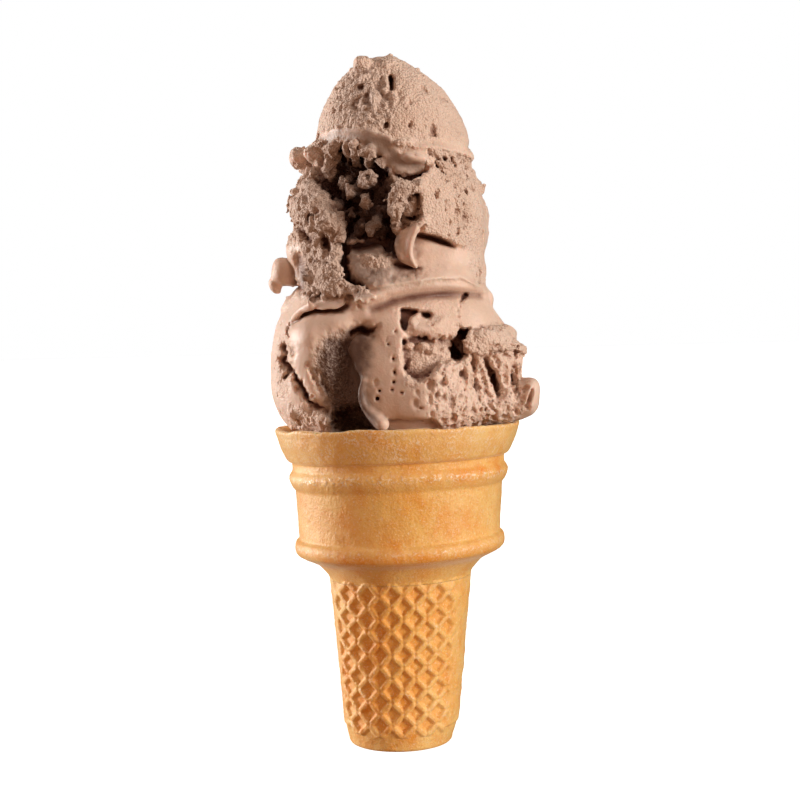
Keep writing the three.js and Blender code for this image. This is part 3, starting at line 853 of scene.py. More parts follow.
# ground of the front, below the flaps: X and Z as seen from the front
FRONT_GROUND: tuple[Feature, ...] = (
    # the torn middle lies deep between the column and the granular face
    Swell(-3.4, (-4.2, 114.5), (6.6, 12.5), 22, 0.5),
    # band under the dome's torn edge, and the pockets behind the hanging crumbs
    Facet(-1.2, [(-17, 134.6), (-12, 134.6), (-8.5, 134.3), (-5, 133.6), (-3, 133), (-1, 132.2),
        (0.2, 131.2), (1.2, 129.6), (1.8, 127.6), (3.4, 126.6), (6, 126.2), (9, 126.2), (8, 121), (0, 122),
        (-5, 125.5), (-11, 128.5), (-17, 130)], 0.35),
    Facet(-3.4, [(-16.5, 129.4), (-13.4, 130.4), (-9, 130.6), (-5, 129.4), (-2.4, 127.4), (-0.6, 125.6),
        (-0.4, 121), (-2, 116.5), (-6, 116.8), (-10, 118), (-13, 121), (-16.5, 125)], 1.2, 0.6),
    Facet(-1.8, [(0.6, 124.8), (3.5, 124.2), (6.8, 124.9), (7.4, 123.9), (6, 122.4), (4, 121.6),
        (1.6, 122.6)], 0.5, 0.4),
    Stroke(-2.4, 1.8, [(-17.5, 126), (-14.3, 123.2), (-11.7, 120.9), (-9.7, 118.8), (-7.4, 116.6)], 0.6,
        0.5),
    Stroke(-1.6, 0.8, [(-21.5, 114.6), (-19.4, 113), (-17.4, 110.8)], 0.5, 0.4),
    Stroke(-1.6, 0.8, [(-14.8, 112), (-14.1, 110), (-13.4, 107.8)], 0.5, 0.4),
    Swell(-1.8, (-16.5, 115.8), (1.6, 1.3), 40, 0.6),
    # black hollows, and the brown pocket right of the rough cluster
    Facet(-4.2, [(-9.4, 115.6), (-6.4, 116), (-2.6, 117.4), (-1, 115.6), (0.6, 113), (0.8, 109.2),
        (0.2, 106.6), (-1.4, 108.6), (-3.2, 110.8), (-6, 111.6), (-9, 111.6)], 0.8, 0.5),
    Facet(-2.4, [(3.4, 119.2), (5.2, 120), (5.9, 118), (5.6, 115.6), (4.4, 114.4), (3, 115)], 0.6, 0.4),
    # smooth facet under the granular face
    Swell(-2.3, (5.2, 109.8), (7.4, 4.2), -14),
    Stroke(-1.6, 0.6, [(4.8, 111.4), (7, 111), (9.3, 110.3), (11.4, 109.5), (12.8, 108.8)], 0.25, 0),
    # round mound with the crack to its left and the crease to its right
    Swell(2.4, (-4, 105), (4.4, 4.8)), Swell(-1.2, (-8.6, 108.6), (2.6, 3), 30),
    Stroke(-4.2, 1, [(-10.2, 109.6), (-10.2, 105.3), (-9.5, 102.4), (-8.3, 101.2), (-6.6, 100)], 0.7),
    Stroke(-1.2, 0.5, [(-0.4, 105.4), (2.4, 104.8), (5.4, 104.2)], 0.5, 0.1),
    # lip at the foot of the facet, steep on its lower side
    Stroke(1.9, 1.8, [(-5.5, 100.6), (-1.3, 100.8), (2.4, 101.5), (5.2, 101.8), (8.1, 102.2), (11.7, 102.3),
        (14.3, 102.3), (16.6, 101.2), (19, 100.2)], 0.12, 0.12, 0.8),
    # smear at the foot of the dome on the right
    Stroke(0.7, 1.6, [(5, 129.6), (8.4, 129.5), (12, 129.4), (15.5, 128.8), (18, 128.2)], 0.4, 0.1, 0.4),
    # valley under the roll, gap beside the ear
    Stroke(-1.4, 1.4, [(-4.5, 95.8), (-2, 96.5), (0, 97.3), (5, 98.4), (10, 98.9), (14, 98.9), (18, 98.6)],
        0.5, 0),
    Stroke(-3.2, 1.1, [(-20.6, 107.4), (-20.3, 104.5), (-20.4, 101.2)], 0.7, 0.2),
    # the front turns towards the left between the dark patch and the block
    Swell(1.3, (8.5, 78), (7.5, 9)), Swell(-2.4, (-9, 81), (10, 11)),
    # torn dark patch left of the long flap, going under it and down to the rim
    Facet(-0.8, [(-16.4, 88.3), (-14, 90.6), (-8.8, 91.2), (-5, 91), (-4.6, 84), (-4.4, 78), (-4, 72),
        (-3, 69.5), (-10.9, 69.5), (-12.9, 74.4), (-15.7, 76), (-16.1, 79.7), (-17.3, 83.6), (-16.7, 86.2)],
        1.8, 0.5),
    Facet(-2, [(-12, 90), (-5, 91), (-4.4, 70), (-11, 70), (-13, 76), (-12, 84)], 2.6),
    Facet(-2.4, [(-12.4, 74.6), (-5, 75.5), (-3, 69.5), (-12.5, 69.5)], 0.8, 0.4),
    # rough bowl right of the flap with the dark cavity behind it
    Facet(-2.5, [(1.4, 89.4), (5, 89.8), (9, 89.4), (12, 89.4), (13.6, 85.2), (10, 84.6), (8, 83),
        (5.6, 81), (3.4, 81.2), (1.8, 83.6), (1.4, 86)], 0.6, 0.4),
    Facet(-4.2, [(11.4, 86.2), (12, 88.6), (13.4, 91), (15.2, 91.4), (15.4, 90), (14.6, 87.8), (14.6, 85.4),
        (12.8, 85)], 0.5, 0.4),
    # recess above the rim
    Facet(-1, [(-1.6, 73), (3, 73.1), (7.6, 72.8), (8.6, 69), (-2, 69)], 0.35, 0.15),
    # groove under the left tongue, and the furrows of the dome's steep side
    Stroke(-1.5, 0.8, [(-21.5, 93.6), (-19.5, 95), (-17.5, 96), (-15, 96.2), (-12, 96.1), (-10, 96.8)], 0.5,
        0.15),
    Stroke(-2, 0.8, [(-22.4, 84.4), (-20.4, 80.8), (-18.8, 77.8), (-16.6, 75.6), (-14.8, 75)], 0.6, 0.45),
    Stroke(-0.8, 0.5, [(-18.3, 84.7), (-16.9, 81), (-15.9, 78.4)]),
    Stroke(-0.8, 0.5, [(-16.4, 83.4), (-15.2, 80.8), (-13.8, 78.3)]),
)

# flaps of the front
FRONT_FLAPS: tuple[Flap, ...] = (
    # skirt that the scoop dragged down from the dome, ending in a tongue
    Flap(-0.5, 1.3, [(-17, 134.8), (-12, 134.9), (-7, 134.3), (-3, 133.4), (0, 131.8), (1.6, 129.4),
        (2.4, 127.6), (4.6, 126.8), (8.6, 126.8), (9.6, 125.8), (8.4, 125), (6.4, 124.2), (3.5, 124),
        (1.6, 124.7), (0, 125.6), (-1.2, 127), (-2.6, 128.7), (-4, 129.7), (-5.5, 130.6), (-8, 131.2),
        (-10.5, 131.7), (-17, 131.7)], (0.16, 0.34), 0.12, 0.1, 0.6),
    # granular face with its lower edge over the facet
    Flap(0.7, 1.8, [(4, 122.6), (6.4, 123.4), (8.4, 125.6), (11, 127), (15, 127.4), (20, 127), (20, 112),
        (17, 109.6), (14.6, 109), (13.2, 109.4), (11.4, 110.2), (9.3, 111), (7, 111.6), (5.4, 112.1),
        (6.4, 113.4), (6, 116.5), (6.3, 118.6), (5.8, 119.6), (4, 121)], (-0.12, 0), 0.15, 0.06, 0.5),
    # fold that curls away over the facet
    Flap(1.2, 2.4, [(7.4, 114.8), (5.6, 114.4), (3.8, 113.4), (2.2, 112.2), (0.9, 110.8), (0.5, 109.3),
        (0.7, 107.6), (1.3, 106), (2.8, 105), (5, 104.2), (4.4, 105.4), (4, 106.6), (3.8, 107.9),
        (3.9, 109.2), (4.3, 110.5), (5, 111.9), (6, 112.8), (7.4, 113.2)], (0.28, 0), 0, 0, 1),
    # crumbled edge of the column, and the smooth tongue below it
    Flap(1.4, 1.6, [(-19.5, 104), (-16, 106), (-11.5, 105.5), (-10.4, 102.8), (-9.2, 101.6), (-7, 100),
        (-5.4, 98.9), (-6.5, 98.2), (-9, 98.9), (-12, 98.9), (-15.4, 99.4), (-18.5, 99.4)], (0, -0.1), 0.5,
        0.2),
    Flap(0.9, 1, [(-19.4, 96.6), (-18.4, 98.8), (-14, 99.4), (-10.8, 98.8), (-10.2, 97.4), (-11, 96.5),
        (-13.4, 96.2), (-16, 96.4), (-18, 96)], (0, -0.15), 0.15, 0.2),
    # long flap down the front, with its wavy left edge
    Flap(-0.8, 1.7, [(-3.6, 92), (-4.4, 90.9), (-5.6, 90.7), (-7.5, 90.6), (-8.8, 89.6), (-9.9, 88),
        (-9.8, 87), (-9, 85), (-8.2, 83.2), (-7.4, 82.2), (-7.2, 80.4), (-7.6, 79), (-7.8, 77.5),
        (-7.2, 75.5), (-6.2, 74), (-5, 72.8), (-1.5, 73), (3, 73.2), (7, 73), (9.4, 74.6), (9.8, 78),
        (8.6, 81.2), (7, 82), (5.4, 80.9), (3.8, 80.9), (2.4, 81.8), (1.5, 83.6), (1.1, 86), (1.3, 89),
        (1.8, 91), (1.1, 92.2), (0.6, 93.6), (0.8, 95.9), (-3, 95.5)], (0.22, 0), 0.15, 0, 0.8),
    # shelf of the block on the right
    Flap(0.6, 1.4, [(14.8, 88.1), (15.2, 90.6), (17.8, 91.3), (21.7, 91.2), (24.2, 90.6), (26, 88.8),
        (28.6, 86.6), (27, 86), (21.6, 86.1), (18.4, 86), (16, 86.4)], (0, 0), 0.45, 0.1, 0.6),
)

# relief on top of everything at the front
FRONT_SKIN: tuple[Feature, ...] = (
    # rolled edge of the fold
    Stroke(0.8, 0.8, [(6.6, 114.2), (5.4, 113.2), (4.6, 111.9), (4, 110.6), (3.6, 109.2), (3.5, 107.8),
        (3.8, 106.3), (4.6, 104.9)], 0.4, 0),
    # slit and folds under the peak
    Stroke(-2.8, 0.5, [(0.4, 145.4), (0.5, 144), (0.5, 142.6)], 0.8, 0.1),
    Stroke(-1.3, 0.7, [(-0.3, 142.4), (-0.3, 140.6), (-0.1, 138.6)]),
    Stroke(-1.2, 0.6, [(-1.6, 145.4), (-1.9, 143.4), (-1.5, 140.6), (-1.8, 138.4)]),
    Stroke(-1, 0.6, [(-4.4, 142.4), (-4.9, 140.4), (-4.3, 138.6)], 0.4, 0.35),
    Stroke(-0.9, 0.6, [(-6.6, 141.2), (-7.2, 139.4), (-6.8, 137.6)], 0.4, 0.35),
    Stroke(0.9, 0.7, [(-3.2, 141.6), (-3.4, 139.4), (-3, 137.2)], 0.4, 0.35),
    Stroke(-0.8, 0.6, [(-3.4, 144.4), (-2.8, 143), (-2.2, 141.6)]),
    Stroke(-0.8, 0.6, [(1.6, 142), (2.2, 140.4), (1.4, 139)]),
    Stroke(-0.8, 0.5, [(-2.2, 139.6), (-2.8, 138), (-2.4, 136.8)]),
    Stroke(-0.6, 0.5, [(6.4, 143.4), (7.2, 142.4), (8, 141.8)]),
    Stroke(-0.7, 0.5, [(10.6, 141.4), (11.4, 141), (12.2, 141.2)]),
    Swell(-1.4, (-6, 143.4), (1.1, 0.7), 10, 0.3), Swell(0.8, (-0.2, 149.6), (2.6, 1.8), 20, 0.3),
    # dents in the dome's foot
    Swell(-1.2, (-0.9, 134.2), (0.6, 0.7), 0, 0.3), Swell(-1, (4.2, 134.4), (0.35, 0.8), 0, 0.2),
    Swell(-0.9, (9.2, 132.6), (0.8, 0.4), 0, 0.3), Swell(-0.8, (-11.8, 138.8), (0.6, 0.5), 0, 0.3),
    # grooved chunk below the right smear
    Stroke(-1.2, 0.35, [(8, 128.9), (9, 127), (9.8, 125.4), (11.6, 123.8)], 0.5, 0.45),
    Stroke(-0.8, 0.4, [(12.4, 128), (12.9, 126.6), (13.6, 125.2)], 0.5, 0.5),
    Swell(-1, (11.2, 127.2), (0.4, 0.7), 20, 0.3), Swell(-0.8, (10.4, 125.6), (0.5, 0.4), 0, 0.3),
    # roll between the middle and the bottom scoop
    Stroke(1.9, 1.5, [(-8, 97.2), (-4.5, 98.3), (0, 99.6), (5, 100.35), (10, 100.6), (15, 100.2),
        (19.5, 99.4)], 0.3, 0),
    # right side crack and pores
    Stroke(-1.1, 0.4, [(15.4, 98.8), (14.6, 97.8), (13.9, 96.8)], 0.6, 0.2),
    Swell(-0.9, (18.2, 101.2), (0.5, 0.4), 0, 0.2), Swell(-0.8, (11.2, 116.6), (0.4, 1), 0, 0.3),
    # square hole, its neighbour and the soft lump below
    Facet(-2.3, [(1.2, 95.7), (2.8, 95.9), (4.8, 95.4), (3.6, 94.2), (2.9, 92.6), (2.4, 91.3), (1.5, 91.6),
        (1.2, 93.2)], 0.3, 0.1),
    Swell(-2.4, (6.6, 94.5), (1, 0.8), 0, 0.2), Stroke(-1.2, 0.35, [(4.4, 95.2), (6, 95)], 0.5, 0.1),
    Stroke(1, 1, [(3.4, 93.4), (4.6, 91.8), (6.6, 91.6), (9, 92.4), (10.2, 93.6)], 0.4, 0.15),
    Stroke(-0.9, 0.5, [(2.4, 90.4), (4.6, 89.9), (7, 89.7), (9, 90.2)], 0.5, 0.2),
    Stroke(-0.9, 0.4, [(12.4, 92.2), (13.2, 91.8), (13.8, 91)], 0.5),
    # notch at the top of the flap
    Stroke(-2.2, 0.7, [(-9, 91.2), (-7.8, 92), (-6.4, 91.6), (-5, 91.4), (-3.8, 92.2)], 0.6),
    # pinholes of the flap
    Swell(-1, (-1.4, 88.6), (0.3, 0.3)), Swell(-0.8, (0.1, 91.2), (0.3, 0.3)),
    Swell(-1.1, (-0.4, 85.6), (0.35, 0.5)), Swell(-1, (-0.2, 82.8), (0.35, 0.6)),
    Swell(-1, (-0.4, 80.8), (0.4, 0.4)), Swell(-1.1, (-3.4, 79), (0.35, 0.35)),
    Swell(-1.1, (-0.8, 79.2), (0.4, 0.3)), Swell(-1.3, (-3.9, 77.4), (0.45, 0.5)),
    Swell(-1, (1.2, 78.6), (0.4, 0.3)), Swell(-1, (5, 75.4), (0.5, 0.3)),
    # slanting grooves of the pitted block, and its rounded upper edge
    Stroke(0.7, 0.9, [(6.8, 80.6), (8.2, 82.2), (10.2, 83.4), (13, 84)], 0.4, 0.2),
    Stroke(-2.2, 0.9, [(18.8, 85.2), (20, 82.2), (21, 79.4), (21.5, 76.8)], 0.4, 0.25),
    Stroke(-1.4, 0.6, [(16.2, 86), (16.2, 84), (16.6, 82.4)], 0.5),
    Stroke(-0.5, 0.55, [(9.6, 82.4), (9.9, 79.6), (9.6, 76.4)], 0.4, 0.35),
    Stroke(-0.6, 0.5, [(11.8, 83), (12.1, 80), (11.8, 76.6)], 0.4, 0.35),
    Stroke(-0.8, 0.6, [(13.9, 84.4), (14.3, 81), (13.9, 77.6)], 0.4, 0.35),
    Stroke(-0.7, 0.55, [(16.4, 81.6), (17, 78.6), (17.2, 75.6)], 0.4, 0.35),
    Stroke(-0.6, 0.5, [(18.6, 80), (19.2, 77.4), (19.2, 75)], 0.4, 0.35),
    Stroke(-0.7, 0.5, [(24.2, 84.6), (24.8, 81), (24.9, 77.6)], 0.4, 0.35),
    Stroke(0.3, 0.8, [(8, 82.2), (8.4, 79.6), (8.2, 76.4)], 0.4, 0.25),
    Stroke(0.3, 0.7, [(10.9, 83.4), (11, 80.6), (10.8, 77.6)], 0.4, 0.25),
    # band pressed into the shelf
    Stroke(-0.55, 0.3, [(19.2, 87.7), (22.5, 87.6), (26, 87.4)], 0.6, 0.05),
    Stroke(-0.45, 0.28, [(19.4, 86.6), (23, 86.5), (26.4, 86.4)], 0.6, 0.05),
    # holes at the left
    Stroke(-1.9, 0.75, [(-24, 88.6), (-23.3, 87), (-23.8, 85.4), (-22.9, 83.6), (-23.4, 82.2)], 0.8, 0.4),
    Swell(-1, (-24.4, 85.4), (1, 1.6), 20, 0.6),
    Stroke(-0.8, 0.4, [(-22.4, 93.2), (-22.9, 91.8), (-22.7, 90.4)], 0.6),
    Swell(-0.9, (-21.6, 87.4), (0.4, 0.8), 0, 0.2),
    # bright swell of the dome
    Swell(0.7, (-19.6, 91.6), (3, 3.2)),
)

# small pieces of the front: X, Z and lift, half sizes
FRONT_LUMPS: tuple[Lump, ...] = (
    # crumb beside the peak with the dent under it
    Bite((-11, 148.9, -3), (3, 9, 2), 2.2, 0.5), Lump((-5.6, 148.7, 0.4), (2, 2.2, 2.1), 2.2, 0.8),
    Bite((-5.2, 147, 1.4), (0.9, 1.6, 0.9), 2, 0.4),
    # flake that curls up at the foot of the dome, and the crumbs above it
    Lump((4.9, 127.4, 0.6), (2.7, 1.4, 1.1), 2.2, 0.5, turn=-8),
    Bite((4.2, 128, 2), (1.9, 0.6, 0.24), 2, 0.2, turn=-12), Lump((2.2, 130.6, 0.5), (0.9, 1, 0.8)),
    Lump((3.7, 130.9, 0.3), (1, 1, 0.8)),
    # knob on its arm, far left
    Lump((-20.1, 129.9, -0.4), (2.2, 2.4, 2.4), 2.1, 0.5),
    Lump((-16.8, 130, -0.2), (2.5, 2, 1.6), 2.2, 0.8, turn=-25),
    Lump((-17.8, 128.8, -4.6), (2.6, 4.4, 2.4), 2.2, 1.2),
    # crumbs in the pocket under the skirt
    Lump((-5.1, 123.3, 5), (2.1, 2.4, 2.1), 2.4, 0.5), Bite((-4.6, 123.8, 7.4), (0.7, 1.6, 0.9), 2, 0.3),
    Lump((-9.9, 122.8, 3.6), (1.4, 1.8, 1.3)), Lump((-8.4, 121.2, 3.8), (1.6, 1.8, 1.4)),
    Lump((-5.4, 119, 3.8), (1.3, 1.8, 1.6)), Lump((-7.6, 119.2, 1.8), (0.7, 0.8, 0.6), 2.2, 0.3),
    Lump((-9.8, 120.6, 1.6), (0.8, 0.9, 0.7), 2.2, 0.3), Lump((-2, 126.8, 2.4), (1.4, 1.5, 1.2)),
    Lump((-8.3, 116.6, 1.2), (1, 1, 1.1)),
    # rough cluster above the curl, and the pale lump right of it
    Lump((2.4, 120.8, 2.8), (2.2, 2.4, 1.9), 2.2, 0.6), Lump((1, 118.4, 3.2), (2, 2.2, 2.2), 2.2, 0.6),
    Lump((0.8, 115.6, 3.2), (1.6, 2, 2), 2.2, 0.6), Lump((0.9, 113.2, 2.6), (1.2, 1.7, 1.6), 2.2, 0.6),
    Lump((-1.6, 117, 1.6), (1.3, 1.2, 0.8)), Lump((5.4, 120.9, 0.5), (1.9, 1.5, 1.4), 2.2, 0.8),
    Lump((4.5, 117.6, 0.2), (1.5, 2.2, 2.5), 2.2, 0.8),
    # small crumbs in and under the black hollow
    Lump((-6.6, 113.7, 1.2), (1.5, 2.4, 1.5), 2.2, 0.6), Lump((-3.2, 115.2, 1), (1.6, 2.4, 1.5), 2.2, 0.6),
    Lump((-5.4, 116.6, 0.6), (1.3, 2, 1.1), 2.2, 0.6), Lump((-2.2, 112.2, 0.8), (1.2, 2, 1.2), 2.2, 0.6),
    Lump((-4.6, 112.4, 4.4), (1.15, 1.6, 1.5), 2.4, 0.3, turn=10),
    Lump((-3.5, 114, 4.2), (0.55, 0.9, 0.8), 2, 0.3, turn=30),
    Lump((-8.6, 110.6, 1), (1.3, 1.3, 0.9), 2.2, 0.5), Lump((-6.4, 110.4, 0.8), (0.9, 1, 0.6), 2.2, 0.5),
    # rough spot on the mound
    Lump((-3.2, 106, 0), (3, 0.8, 1.2), 2.2, 0.6, turn=-6),
    # ear at the left with its pointed tip
    Lump((-24, 105, -0.8), (2.9, 3.4, 3), 3, 0.5, turn=-12),
    Lump((-22.4, 104.4, -4.4), (2.6, 4.6, 2.6), 2.2, 1.2),
    Lump((-26.3, 102, -1.2), (1.2, 1.8, 1.9), 2, 0.5, turn=24),
    Bite((-26, 98.6, -2), (2.6, 6, 1.6), 2.2, 0.3), Bite((-23.7, 100.6, -2), (1.5, 6, 1.3), 2.2, 0.3),
    Bite((-28.3, 104.1, -1.4), (1.3, 2.4, 1), 2, 0.3),
    # crumbs in the bowl
    Lump((5.9, 88, 0.9), (1.3, 1.1, 0.9), 2.4, 0.3, turn=-20), Lump((7.6, 86.8, 0.5), (0.9, 1, 0.7)),
    Lump((3, 88.2, 0.5), (1.1, 1, 0.7)),
    # lobe at the right end of the block, with its slot
    Lump((28.2, 76.8, -0.8), (2.2, 4, 3.8), 2.6, 0.8, turn=-10),
    Bite((28.2, 76.8, 3.2), (0.42, 1.6, 2.1), 2, 0.3, turn=-18),
    # cave under the fold's hook
    Bite((5.9, 112.3, 0), (1, 1.5, 0.8), 2.2, 0.3, turn=15),
    # knob on the right shoulder of the middle scoop, and the gap beside it
    Lump((18.9, 121.9, 0.2), (1.6, 2, 1.5), 2.2, 0.3), Bite((17.2, 121.9, 0.6), (0.6, 1.3, 1.1), 2, 0.3),
)
FRONT_RODS: tuple[Rod, ...] = (
    # crumbs hanging from the skirt
    Rod([(-12.3, 130.8, 2.4), (-12.9, 128.4, 3.2), (-13.4, 126.2, 3.2), (-13, 124.8, 2.6)], [1.3, 1.3, 1.2,
        0.9], 0.4),
    Rod([(-11.2, 129.6, 2.6), (-11.9, 128, 3.2), (-12.6, 126.6, 3.2)], [0.8, 0.8, 0.6]),
    Rod([(-9.5, 131, 2.2), (-9.3, 129.6, 3), (-9.1, 128.2, 3)], [0.8, 0.8, 0.6]),
    Rod([(-7.6, 130.9, 2.2), (-7.4, 129, 2.8), (-7.2, 127.2, 2.2)], [0.9, 1, 0.7]),
    Rod([(-6.4, 130.4, 2), (-6.2, 129.2, 2.6)], [0.6, 0.5]),
    Rod([(-4.2, 129.6, 2), (-4.3, 128, 3.2), (-4.7, 126.5, 3.2)], [1.1, 1.2, 0.8]),
    # upright crumb beside the black hollow
    Rod([(-10.9, 116, 1.4), (-11.1, 113.6, 1.6), (-11, 111.2, 1.4)], [1.2, 1.2, 1], 0.5),
    # drip at the flap's lower end
    Rod([(-6.7, 81.3, 0.2), (-7.3, 79.2, 0.2), (-7.2, 77.1, 0.2), (-6, 75, 0.3), (-4.6, 73.4, 0.7),
        (-3.1, 72.1, 3.2)], [0.4, 0.6, 0.8, 1, 1.3, 1.4], 0.7),
    # edge of the left tongue
    Rod([(-21.6, 94.8, 0.1), (-19.4, 96.4, 0.5), (-17.4, 97.2, 0.6)], [0.6, 0.7, 0.7], 0.6),
)

FRONT_PATCHES: tuple[Patch, ...] = (
    # dome: granular, coarser and frosted left of its middle
    Patch({G: 0.75, C: 0.2, P: 0.12}, [(-20, 134.6), (-12, 134.4), (-4, 132.6), (2, 129.4), (8, 130.6),
        (20, 133), (20, 156), (-20, 156)], 1.2),
    Patch({G: 1, C: 0.55, P: 0.2, F: 0.45}, [(-9.5, 146.5), (-4, 147.4), (-0.6, 143), (0.4, 138), (-1, 134),
        (-8, 134.6), (-12, 137), (-11.4, 142)], 1.6),
    # skirt, tongue and right smear: dragged smooth
    Patch({G: 0.10, C: 0, P: 0, F: 0}, [(-17, 134.6), (-12, 134.7), (-7, 134), (-3, 133.1), (0, 131.4),
        (1.4, 129.4), (2.2, 127.4), (4.6, 126.6), (8.8, 126.4), (8.4, 125.2), (3.5, 123.9), (0, 125.5),
        (-4, 129.6), (-8, 131), (-17, 131.6)], 0.3, 0.15),
    # painted shade on the concave skirt band, which faces down
    Patch({M: 0.5}, [(-17, 134.2), (-9, 133.8), (-2, 132.4), (2, 128), (6.4, 125.6), (2, 124.6),
        (-3, 128.6), (-8, 131.2), (-17, 132)], 1.2),
    Patch({M: 0.5}, [(-9.5, 133.2), (-5.4, 132.6), (-1.6, 131.6), (0.6, 129.6), (1.6, 127.2), (1, 125.8),
        (-1.2, 127.6), (-3.4, 129.4), (-6, 130.8), (-9.5, 131.6)], 1.5),
    Patch({G: 0.25, C: 0, P: 0.03}, [(4.6, 130.4), (9, 131.4), (14, 132), (19, 132), (19, 127.6),
        (12, 128.8), (7, 129.2), (5, 127.4)], 0.6),
    # crumbs below the skirt, rough lump, cluster and column, with a little painted shade
    Patch({G: 1, C: 1, P: 0.05, M: 0.15}, [(-24, 131.6), (-10, 131.6), (-4, 129.8), (0, 125.4), (3, 123.8),
        (6.4, 122.4), (5.8, 119.6), (6.2, 114.5), (2, 112), (0, 111), (-9, 110), (-9.6, 103), (-5, 98.8),
        (-20, 98.8), (-20, 110), (-24, 114)], 0.6),
    # painted shade in the pockets behind the crumbs and in the black hollow
    Patch({M: 0.35}, [(-15, 125.5), (-10, 128.6), (-3, 127), (-0.4, 124), (-0.6, 117), (0.6, 110),
        (-1, 108), (-5, 111), (-9, 111.4), (-10, 117), (-13, 121)], 1.6),
    Patch({M: 0.6}, [(-9.4, 115.4), (-6, 116), (-2.6, 116), (-0.8, 114), (0.6, 111.4), (0.8, 108.6),
        (-0.4, 107.2), (-3, 110), (-6, 111.4), (-9, 111.8)], 1),
    # smooth ear, and painted shade in the gap to its right
    Patch({G: 0.45, C: 0.08, P: 0.05, M: 0}, [(-30, 109), (-20.8, 108), (-20.6, 99.5), (-30, 98)], 0.6),
    Patch({M: 0.7}, [(-22.4, 105), (-19.4, 106), (-18.8, 103), (-19.6, 100.8), (-22.2, 101.4)], 0.6),
    # granular face: even fine grain with a few pores
    Patch({G: 0.7, C: 0.12, P: 0.34}, [(6.4, 124), (14, 124.6), (24, 124), (24, 100), (16.6, 101),
        (16, 107), (12, 110), (6.4, 112.2), (6.4, 119)], 0.6),
    Patch({G: 0.9, C: 0.9, P: 0.2}, [(7.8, 128.9), (12.8, 128.6), (15.4, 127.2), (14.6, 123.8),
        (10.2, 123.2)], 0.6),
    Patch({G: 0.9, C: 0.6, P: 0.3}, [(14.6, 128.4), (18.4, 127.6), (20, 121.6), (16.4, 121.4),
        (14.2, 124)]),
    Patch({G: 0.9, C: 0.35, P: 0.8}, [(13.6, 122), (15.6, 121.6), (16.6, 115), (15.6, 111.6), (13.8, 112)]),
    # smooth facet, mound, roll and lip, with painted shade on the mound and its rough spot
    Patch({G: 0.14, C: 0, P: 0}, [(4.4, 112), (13, 109.6), (15.6, 107.6), (16.4, 103), (20, 99), (10, 96),
        (-2, 94), (-8, 97), (-4, 101), (-9, 103), (-9, 107), (-6, 109.6), (0, 110.4), (1.4, 112.6)], 0.5,
        0.3),
    Patch({G: 0.15, M: 0.55, P: 0}, [(-9.4, 109), (-5, 110.8), (0, 109.4), (1.4, 106), (3.4, 104.2),
        (-1.3, 101.6), (-5, 100.4), (-8, 100.4)], 1.6),
    Patch({G: 0.8, C: 0.4, M: 0.1}, [(-6.6, 107.4), (-1, 107.2), (0.2, 105.2), (-5.6, 104.8)], 0.5),
    # bottom scoop: satin dome at the left
    Patch({G: 0.06, C: 0, P: 0.02}, [(-30, 97), (-16, 98), (-5, 97), (-4, 92), (-8, 91.6), (-14, 90.9),
        (-17, 88), (-17.4, 80), (-20, 74), (-30, 74)]),
    # painted shade on the torn dark patch left of the long flap
    Patch({G: 0.9, C: 0.25, M: 0.85}, [(-15.6, 88), (-13.4, 90.2), (-8.8, 91), (-5, 91), (-6, 80), (-4, 70),
        (-13, 70), (-14.4, 75), (-15.4, 79.7), (-16.4, 83.6)], 2.2, 0.6),
    Patch({G: 1, C: 0.3, F: 0.5}, [(-16, 88), (-13.6, 90.2), (-11, 90), (-11, 84), (-12, 79), (-14.4, 77.6),
        (-16.6, 82)], 1.2),
    Patch({G: 0.7, C: 0.5, P: 0.1}, [(-24, 75.6), (-17, 75.6), (-13.6, 73.4), (-13, 70), (-26, 70)]),
    Patch({G: 0.6, C: 0.25, P: 0.2}, [(-27, 91), (-22.6, 91), (-22, 84), (-24, 78), (-28, 80)]),
    # long flap: smooth
    Patch({G: 0.1, C: 0, P: 0.05}, [(-5, 95), (1, 96), (1.3, 88), (1.2, 84), (5, 80.6), (9, 78), (11, 73),
        (-4, 71), (-8, 78), (-10, 88)], 0.5, 0.2),
    Patch({P: 0.5}, [(3.5, 80.5), (8, 82), (9, 74), (4.5, 74)], 2.5, 0.5),
    # bowl, right shoulder and pitted block
    Patch({G: 0.7, C: 0.35, P: 0.1}, [(1.4, 89), (12, 88.6), (13, 85), (8, 82.6), (5, 80.6), (2, 81)], 0.5),
    Patch({G: 0.3, C: 0, P: 0.08}, [(1, 96), (12, 98.4), (22, 98.6), (26, 91.8), (14, 91.4), (11, 89.4),
        (3, 89.4)]),
    Patch({G: 0.75, C: 0.25, P: 0.2}, [(12, 91.8), (17, 91.8), (24, 92.4), (32, 88), (31, 85.4),
        (15, 85.6)]),
    Patch({G: 0.35, C: 0, P: 1}, [(7, 81.6), (9.4, 83.4), (13.6, 85), (26.4, 85.4), (27, 73), (20, 70),
        (12, 70), (6.4, 75)]),
)

